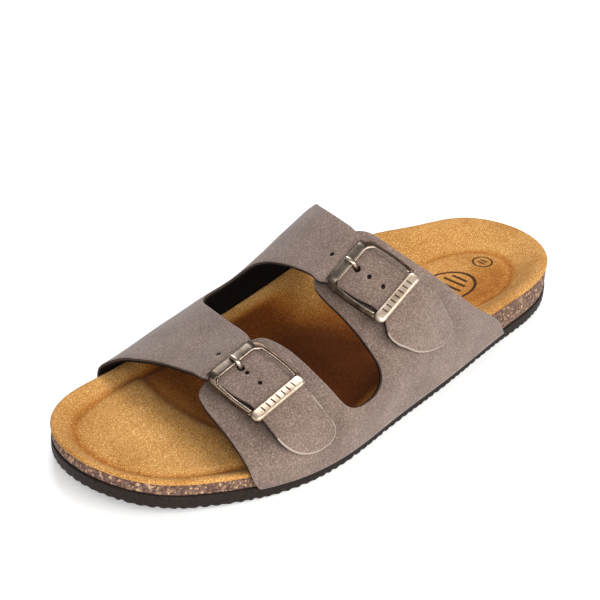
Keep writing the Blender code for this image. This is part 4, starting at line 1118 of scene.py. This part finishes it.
class SANDAL_OT_outsole(bpy.types.Operator):
    """Make the dark outsole with its ribbed lower edge."""

    bl_idname = "sandal.outsole"
    bl_label = "Outsole"

    def execute(self, context):
        """Sweep the side round the outline and close it above and below."""
        loop = sole_loop(0.0)
        lift = spring(loop[:, 0])
        run = np.concatenate([[0.0], np.cumsum(np.linalg.norm(np.diff(loop, axis=0), axis=1))])
        whole = run[-1] + CLOSING_STEP
        ribs = int(round(whole / EDGE_RIB_PITCH))
        # Slow waves make the pitch and the depth of the ribs a little uneven, as moulded ones are.
        drift = 0.9 * np.sin(run * 0.21) + 0.6 * np.sin(run * 0.083 + 0.7)
        wave = np.tanh(2.2 * np.sin(2 * math.pi * ribs * run / whole + drift))
        uneven = 0.5 + 0.3 * np.sin(run * 0.37) + 0.3 * np.sin(run * 0.91 + 1.3)
        rib = size_mm("rib_depth") * (0.5 + 0.5 * wave) * (0.6 + 0.8 * uneven)
        rows = []
        for inset, height, ribbed in OUTSOLE_ROWS:
            edge = sole_loop(inset)
            push = inward(edge) * (rib * ribbed * RIB_PUSH)[:, None]
            rows.append(np.column_stack([edge + push, lift + height + rib * ribbed]))
        rows.append(np.column_stack([sole_loop(TOP_INSET), lift + OUTSOLE_HEIGHT - TOP_DROP]))
        obj = walled_solid("outsole_moulded", rows,
                           lambda flat: outsole_top(flat[:, 0]) - TOP_DROP,
                           lambda flat: spring(flat[:, 0]) + OUTSOLE_ROWS[0][1],
                           moulded_rubber("moulded_sole_rubber", colours()), 8.0, 5.0)
        settle(obj, "outsole")
        return {"FINISHED"}


class SANDAL_OT_footbed(bpy.types.Operator):
    """Make the cork midsole and the suede that covers it."""

    bl_idname = "sandal.footbed"
    bl_label = "Cork and suede footbed"

    def execute(self, context):
        """Build the cork's side and the suede with its rolled rim."""
        rim = bed_height(sole_loop(0.02))
        self.cork(rim)
        self.cover(rim)
        return {"FINISHED"}

    def cork(self, rim):
        """Build the cork block, a little inside the suede's edge."""
        base = outsole_top(sole_loop(0.0)[:, 0])
        rows = [np.column_stack([sole_loop(inset), base + height]) for inset, height in CORK_FOOT]
        for share in (0.25, 0.5, 0.75):
            edge = sole_loop(CORK_INSET - CORK_BULGE * math.sin(math.pi * share))
            level = base + CORK_LIFT + (rim - CORK_RIM_DROP - base) * share
            rows.append(np.column_stack([edge, level]))
        rows += [np.column_stack([sole_loop(inset), rim - drop]) for inset, drop in CORK_TOP]
        loop = sole_loop(CORK_TOP_INSET)
        rows.append(np.column_stack([loop, bed_height(loop) - CORK_DROP]))
        obj = walled_solid("cork_block", rows, lambda flat: bed_height(flat) - CORK_DROP,
                           lambda flat: outsole_top(flat[:, 0]) + CORK_FOOT[0][1],
                           cork_board("ground_cork"), 5.0, 8.0)
        settle(obj, "cork_midsole")

    def cover(self, rim):
        """Build the suede cover and note its pressing and painted shade at every point."""
        loop = sole_loop(COVER_ROWS[0][0])
        rows = [np.column_stack([loop, bed_height(loop) - COVER_ROWS[0][1]])]
        rows += [np.column_stack([sole_loop(inset), rim - drop]) for inset, drop in COVER_ROWS[1:]]
        loop = sole_loop(COVER_TOP_INSET)
        rows.append(np.column_stack([loop, bed_height(loop)]))
        obj = walled_solid("suede_cover", rows, bed_height,
                           lambda flat: bed_height(flat) - LINER_THICKNESS,
                           suede("suede_split", colours()), size_mm("bed_step"), 4.0)
        # Painted shade: how much the suede is darkened at each point, by painted shadow and partly by
        # pressing.
        shade = obj.data.attributes.new("bed_wear_and_painted_shade", "FLOAT", "POINT")
        spots = [(v.co.x / MM + HEEL_REACH, v.co.y / MM) for v in obj.data.vertices]
        shade.data.foreach_set("value", [bed_wear_and_painted_shade(x, y) for x, y in spots])
        settle(obj, "footbed_liner")


def flat_edge(points, foot_side):
    """Return the closed flat outline of a leather piece at even steps."""
    free = even_run(smooth_run(points), EDGE_STEP)
    xs = np.arange(free[-1][0] + EDGE_STEP, free[0][0] - 0.5 * EDGE_STEP, EDGE_STEP)
    foot = np.array([foot_at(float(x), foot_side) for x in xs])
    return np.vstack([free, foot])


def leather_sheet(name, outline, holes, face, materials, pale=None):
    """Lay a flat outline on its face with full thickness, rounded rims and punched holes.

    Materials: grain side, cut edge, lining, pale edge.  The pale one is a painted highlight on the
    upper rim and goes there wherever the function pale picks the outline's points.
    """
    thick = size_mm("leather_thick")
    turn = inward(outline)
    hole_turns = [-inward(hole) for hole in holes]
    top_holes = [hole + HOLE_ROLL * t for hole, t in zip(holes, hole_turns)]
    step = size_mm("leather_step")
    flat, faces = fill_loops(outline + RIM_ROLL * turn, top_holes, step,
                             LEATHER_CLEARANCE * step)
    near = np.minimum(distance_to_loop(flat, outline), THIN_WIDTH)
    thinned = EDGE_THINNING * (1.0 - near / THIN_WIDTH) ** 2
    points = [face.lifted(flat, thick - thinned), face.lifted(flat, 0.0)]
    total = len(flat)
    groups = [(faces, 0), (faces[:, ::-1] + total, 2)]
    offset = 2 * total
    start = 0
    for loop, turned, roll in ((outline, turn, RIM_ROLL),
                               *((h, t, HOLE_ROLL) for h, t in zip(holes, hole_turns))):
        count = len(loop)
        ids = [start + np.arange(count)]
        # Each row round the rim: how far in from the outline, and its height over the inner face.
        for inset, lift in ((0.18 * roll, thick - 0.22), (0.0, thick - 0.5), (0.0, 0.9),
                            (0.02, 0.75), (0.0, 0.6), (0.0, 0.3), (0.25 * roll, 0.08)):
            points.append(face.lifted(loop + inset * turned, lift))
            ids.append(offset + np.arange(count))
            offset += count
        ids.append(start + total + np.arange(count))
        ahead = (np.arange(count) + 1) % count
        for r in range(len(ids) - 1):
            quads = np.column_stack([ids[r], ids[r][ahead], ids[r + 1][ahead], ids[r + 1]])
            number = (0, 1, 1)[r] if r < 3 else 2
            # A painted highlight: the pale edge material goes on the top two rows of the rounded rim at
            # the picked points.
            if r in (0, 1) and pale is not None and len(loop) == len(outline):
                chosen = pale(loop)
                groups.append((quads[chosen], 3))
                quads = quads[~chosen]
            if len(quads):
                groups.append((quads, number))
        start += count
    return make_mesh(name, np.vstack(points), groups, materials)


def punched(buckle, u, v, half_x, half_b, count):
    """Return the outline of a round or long hole at u and v of a buckle."""
    x, b = buckle_flat(buckle, u, v)
    angle = 2.0 * math.pi * np.arange(count) / count
    return np.column_stack([x + half_x * np.cos(angle), b + half_b * np.sin(angle)])


def tongue_tip(loop):
    """Return which points of the inner quarter's outline lie on the rounded tongue ends."""
    ahead = np.roll(loop, -1, axis=0) - np.roll(loop, 1, axis=0)
    backwards = ahead[:, 0] < 0.35 * np.abs(ahead[:, 1])
    return (loop[:, 1] > TONGUE_START) & backwards


class SANDAL_OT_upper(bpy.types.Operator):
    """Make the two leather quarters with their arms, straps and cut-outs."""

    bl_idname = "sandal.upper"
    bl_label = "Leather quarters"

    def execute(self, context):
        """Lay both quarters on the last."""
        # The last material, the pale edge, is a painted highlight on the top rim of the tongue ends.
        materials = [brushed_leather("brushed_nubuck", colours()),
                     cut_edge("cut_leather_edge", "#2a211d"), felt("black_lining_felt"),
                     cut_edge("pale_painted_highlight_edge", "#b7a79c")]
        outer_face = LaidFace(last_point, *OUTER_SPAN)
        obj = leather_sheet("outer_quarter", flat_edge(OUTER_EDGE, 1), [], outer_face, materials)
        settle(obj, "upper_outer")
        inner_face = LaidFace(inner_quarter_point, *INNER_SPAN)
        holes = []
        for buckle, first in ((FRONT_BUCKLE, -4.6), (REAR_BUCKLE, -1.8)):
            for u in (-18.6, first, first + HOLE_PITCH):
                holes.append(punched(buckle, u, PRONG_V, HOLE_RADIUS, HOLE_RADIUS, 14))
            holes.append(punched(buckle, -7.8, PRONG_V, 1.3, 1.7, 20))
        obj = leather_sheet("inner_quarter", flat_edge(inner_edge(), -1), holes, inner_face,
                            materials, tongue_tip)
        settle(obj, "upper_inner")
        return {"FINISHED"}


def bar_section(width, thickness, count=16, power=3.2):
    """Return a rounded flat section; a power of 2 makes it an ellipse."""
    out = []
    for k in range(count):
        angle = 2.0 * math.pi * k / count
        out.append([0.5 * size * math.copysign(abs(part) ** (2.0 / power), part)
                    for size, part in ((width, math.cos(angle)), (thickness, math.sin(angle)))])
    return out


def swept(points, groups, number, buckle, path, sections):
    """Sweep sections along a path in a buckle's u, v and n, and add them to a mesh in the making."""
    path = np.asarray(path, float)
    count = len(sections[0])
    last = len(path) - 1
    base = sum(len(p) for p in points)
    rings = []
    for k, place in enumerate(path):
        ahead = path[min(k + 1, last)] - path[max(k - 1, 0)]
        ahead /= np.linalg.norm(ahead)
        side = np.cross(ahead, (0.0, 0.0, 1.0))
        if np.linalg.norm(side) < UPRIGHT:
            side = np.array([0.0, 1.0, 0.0])
        side /= np.linalg.norm(side)
        up = np.cross(side, ahead)
        rings.extend(buckle.point(*(place + a * side + b * up)) for a, b in sections[k])
    points.append(np.array(rings))
    faces = []
    for low in range(base, base + last * count, count):
        for k in range(count):
            ahead_k = (k + 1) % count
            faces.append((low + k, low + ahead_k, low + count + ahead_k, low + count + k))
    end = base + last * count
    faces.append(tuple(range(base, base + count))[::-1])
    faces.append(tuple(range(end, end + count)))
    groups.append((faces, number))


def frame_line(inset):
    """Return a frame's path from one near corner, round the far bar, to the other."""
    half_u = 0.5 * FRAME_HEIGHT - inset
    half_v = 0.5 * FRAME_WIDTH - inset
    path = []
    for k in range(RAIL_STEPS + 1):
        t = 1.0 - k / RAIL_STEPS
        u = -half_u + FRAME_CORNER + t * (2.0 * half_u - FRAME_CORNER - RAIL_STOP)
        path.append((u, -half_v - RAIL_BOW * (1.0 - (u / half_u) ** 2), 0.0))
    for k in range(1, CORNER_STEPS):
        turn = 0.5 * math.pi * k / CORNER_STEPS
        path.append((-half_u + FRAME_CORNER * (1 - math.sin(turn)),
                     -half_v + FRAME_CORNER * (1 - math.cos(turn)), 0.0))
    far_bar = [(-half_u, v, 0.0) for v in np.linspace(FRAME_CORNER - half_v, half_v - FRAME_CORNER, 7)]
    return path + far_bar + [(u, -v, n) for u, v, n in reversed(path)]


class SANDAL_OT_buckles(bpy.types.Operator):
    """Make both buckles with their prongs and their leather keepers."""

    bl_idname = "sandal.buckles"
    bl_label = "Buckles"

    def execute(self, context):
        """Build each frame, plaque, prong and keeper in the buckle's own axes."""
        dark = aged_bronze("aged_bronze", "#3a2d25", "#6a5849", 0.36)
        olive = aged_bronze("olive_bronze_bar", "#544a40", "#7d7266", 0.38)
        bright = aged_bronze("rubbed_bronze_edge", "#93816f", "#c9b9a9", 0.30)
        pale = aged_bronze("champagne_plaque", "#b39a80", "#e0cfbc", 0.42)
        loop_leather = cut_edge("keeper_leather", "#2a211d")
        for word, buckle in (("front", FRONT_BUCKLE), ("rear", REAR_BUCKLE)):
            self.frame(word, buckle, [dark, olive, bright, pale])
            self.prong(word, buckle, bright)
            self.keeper(word, loop_leather)
        return {"FINISHED"}

    def frame(self, word, buckle, materials):
        """Build one frame: bowed rails, far bar, inner wire, plaque with marks and hinge bar.

        Materials: dark frame, olive far bar, bright wire, pale plaque.
        """
        line = frame_line(0.0)
        rails = [bar_section(1.7 + 1.7 * far, 1.5 - 0.2 * far)
                 for far in (rise(u, *FAR_BAR_START) for u, _, _ in line)]
        wire = [(u + (WIRE_SHIFT if u < WIRE_FAR else 0.0), v, WIRE_N)
                for u, v, _ in frame_line(WIRE_INSET)]
        near_u = 0.5 * FRAME_HEIGHT + PLAQUE_PLACE[0]
        far_u = -0.5 * FRAME_HEIGHT - FAR_BAR_SHIFT
        far_bar = [(far_u, v, 0.1) for v in np.linspace(-FAR_BAR_HALF, FAR_BAR_HALF, 9)]
        plaque = []
        plaque_sections = []
        for t in np.linspace(-1.0, 1.0, 25):
            end = max(0.0, (abs(t) - 1.0) * PLAQUE_HALF + PLAQUE_ROUND) / PLAQUE_ROUND
            full = math.sqrt(max(0.04, 1.0 - end * end))
            plaque.append((near_u, t * PLAQUE_HALF + PLAQUE_PLACE[1], PLAQUE_PLACE[2]))
            plaque_sections.append(bar_section(1.0 + 3.5 * full, 0.8 + 1.3 * full, 20, 4.0))
        legs = [(HINGE_U, -v, n) for v, n in HINGE_LEG]
        hinge = legs + [(u, -v, n) for u, v, n in reversed(legs)]
        sweeps = [(0, line, rails), (2, wire, [bar_section(0.6, 0.6, 10, 2.0)] * len(wire)),
                  (1, far_bar, [bar_section(4.1, 1.35)] * len(far_bar)),
                  (3, plaque, plaque_sections)]
        count = bpy.context.scene.sandal_sizes.plaque_ribs
        for k in range(count):
            v = (k - 0.5 * (count - 1)) * MARK_PITCH + PLAQUE_PLACE[1]
            sweeps.append((0, [(near_u + u, v, MARK_N) for u, _ in MARK_STEPS],
                           [bar_section(wide, 0.3, 8, 2.0) for _, wide in MARK_STEPS]))
        sweeps.append((0, hinge, [bar_section(1.3, 1.3, 10, 2.0)] * len(hinge)))
        points = []
        groups = []
        for number, path, sections in sweeps:
            swept(points, groups, number, buckle, path, sections)
        obj = make_mesh(word + "_buckle_frame", np.vstack(points), groups, materials)
        settle(obj, "buckle_" + word)

    def prong(self, word, buckle, material):
        """Build one prong from its eye round the hinge bar to its tip on the far bar."""
        path = []
        sections = []
        for turn in np.linspace(*EYE_TURN, 14):
            angle = math.radians(turn)
            path.append((HINGE_U - EYE_RADIUS * math.cos(angle), PRONG_V,
                         HINGE_N + EYE_RADIUS * math.sin(angle)))
            sections.append(bar_section(1.6, 0.7, 12))
        for u, n, wide, thick in PRONG_STEPS:
            path.append((u, PRONG_V, n))
            sections.append(bar_section(wide, thick, 12, 2.4))
        points = []
        groups = []
        swept(points, groups, 0, buckle, path, sections)
        obj = make_mesh(word + "_prong", np.vstack(points), groups, [material])
        settle(obj, "prong_" + word)

    def keeper(self, word, material):
        """Take one leather loop from the frame's own solid, with softened edges."""
        node = "keeper_" + word
        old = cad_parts[node]
        mesh = old.data.copy()
        mesh.transform(old.matrix_world)
        mesh.materials.clear()
        mesh.materials.append(material)
        obj = bpy.data.objects.new(word + "_keeper_loop", mesh)
        bpy.context.scene.collection.objects.link(obj)
        soften = obj.modifiers.new("rounded", "BEVEL")
        soften.width = KEEPER_ROUND * MM
        soften.segments = 2
        settle(obj, node)


class SANDAL_OT_stage(bpy.types.Operator):
    """Make the pale floor, the soft lights and the camera of the photograph."""

    bl_idname = "sandal.stage"
    bl_label = "Floor, lights and camera"

    def execute(self, context):
        """Build the studio round the sandal."""
        self.floor(context.scene)
        self.lights(context.scene)
        self.camera(context.scene)
        context.scene.view_settings.view_transform = "Standard"
        return {"FINISHED"}

    def floor(self, scene):
        """Lay the sheet of white paper just under the sole."""
        mesh = bpy.data.meshes.new("studio_floor")
        corners = [(x * FLOOR_HALF, y * FLOOR_HALF, 0.0) for x, y in ((-1, -1), (1, -1), (1, 1), (-1, 1))]
        mesh.from_pydata(corners, [], [(0, 1, 2, 3)])
        # Matt paper that glows a little, so the ground stays as pale as in the photograph.
        paper, _ = blank("white_paper", Roughness=0.9, Specular_IOR_Level=0.2, Base_Color="#fbfbfb",
                         Emission_Color="#ffffff", Emission_Strength=PAPER_GLOW)
        mesh.materials.append(paper)
        floor = bpy.data.objects.new("studio_floor", mesh)
        floor.location.z = -FLOOR_GAP
        scene.collection.objects.link(floor)

    def lights(self, scene):
        """Set the light from all round and aim every soft lamp at the sandal."""
        world = bpy.data.worlds.new("studio_light")
        world.use_nodes = True
        glow = world.node_tree.nodes["Background"]
        glow.inputs["Color"].default_value = colour("#ffffff")
        glow.inputs["Strength"].default_value = WORLD_LIGHT
        scene.world = world
        for name, place, size, power, tint in LAMPS:
            lamp = bpy.data.lights.new(name, "AREA")
            lamp.shape = "SQUARE"
            lamp.size = size
            lamp.energy = power
            lamp.color = colour(tint)[:3]
            obj = bpy.data.objects.new(name, lamp)
            obj.location = place
            aim = Vector(LAMP_TARGET) - Vector(place)
            obj.rotation_euler = aim.to_track_quat("-Z", "Y").to_euler()
            scene.collection.objects.link(obj)

    def camera(self, scene):
        """Set the camera as the photograph was taken."""
        turn = math.radians(CAMERA_TURN)
        rise_angle = math.radians(CAMERA_RISE)
        roll = math.radians(CAMERA_ROLL)
        back = np.array([math.sin(turn) * math.cos(rise_angle),
                         -math.cos(turn) * math.cos(rise_angle), math.sin(rise_angle)])
        right = np.cross([0.0, 0.0, 1.0], back)
        right /= np.linalg.norm(right)
        up = np.cross(back, right)
        rolled_right = math.cos(roll) * right - math.sin(roll) * up
        rolled_up = math.sin(roll) * right + math.cos(roll) * up
        lens = bpy.data.cameras.new("photo_camera")
        lens.sensor_width = SENSOR_WIDTH
        lens.lens = CAMERA_FOCUS * SENSOR_WIDTH / PHOTO_SIZE
        camera = bpy.data.objects.new("photo_camera", lens)
        matrix = Matrix.Identity(4)
        for column, axis in enumerate((rolled_right, rolled_up, back, CAMERA_PLACE)):
            for row in range(3):
                matrix[row][column] = axis[row]
        camera.matrix_world = matrix
        scene.collection.objects.link(camera)
        scene.camera = camera


class SANDAL_PT_panel(bpy.types.Panel):
    """List the sandal's sizes, colours and steps."""

    bl_idname = "SANDAL_PT_panel"
    bl_label = "Cork footbed sandal"
    bl_space_type = "VIEW_3D"
    bl_region_type = "UI"
    bl_category = "Sandal"

    def draw(self, context):
        """Draw the properties and one button for each operator."""
        layout = self.layout
        for group in (context.scene.sandal_sizes, context.scene.sandal_colours):
            for name in group.bl_rna.properties.keys():
                if name not in ("rna_type", "name"):
                    layout.prop(group, name)
        for operator in OPERATORS:
            layout.operator(operator.bl_idname)


OPERATORS = (SANDAL_OT_stage, SANDAL_OT_outsole, SANDAL_OT_footbed, SANDAL_OT_upper,
             SANDAL_OT_buckles)
CLASSES = (SandalSizes, SandalColours, *OPERATORS, SANDAL_PT_panel)


def register():
    """Register the classes and put the settings on the scene."""
    for item in CLASSES:
        bpy.utils.register_class(item)
    bpy.types.Scene.sandal_sizes = PointerProperty(type=SandalSizes)
    bpy.types.Scene.sandal_colours = PointerProperty(type=SandalColours)


def unregister():
    """Take the settings and the classes away again."""
    del bpy.types.Scene.sandal_colours
    del bpy.types.Scene.sandal_sizes
    for item in reversed(CLASSES):
        bpy.utils.unregister_class(item)


def main():
    """Make every piece."""
    register()
    bpy.ops.sandal.stage()
    bpy.ops.sandal.outsole()
    bpy.ops.sandal.footbed()
    bpy.ops.sandal.upper()
    bpy.ops.sandal.buckles()
    bpy.context.view_layer.update()


if __name__ == "__main__":
    main()
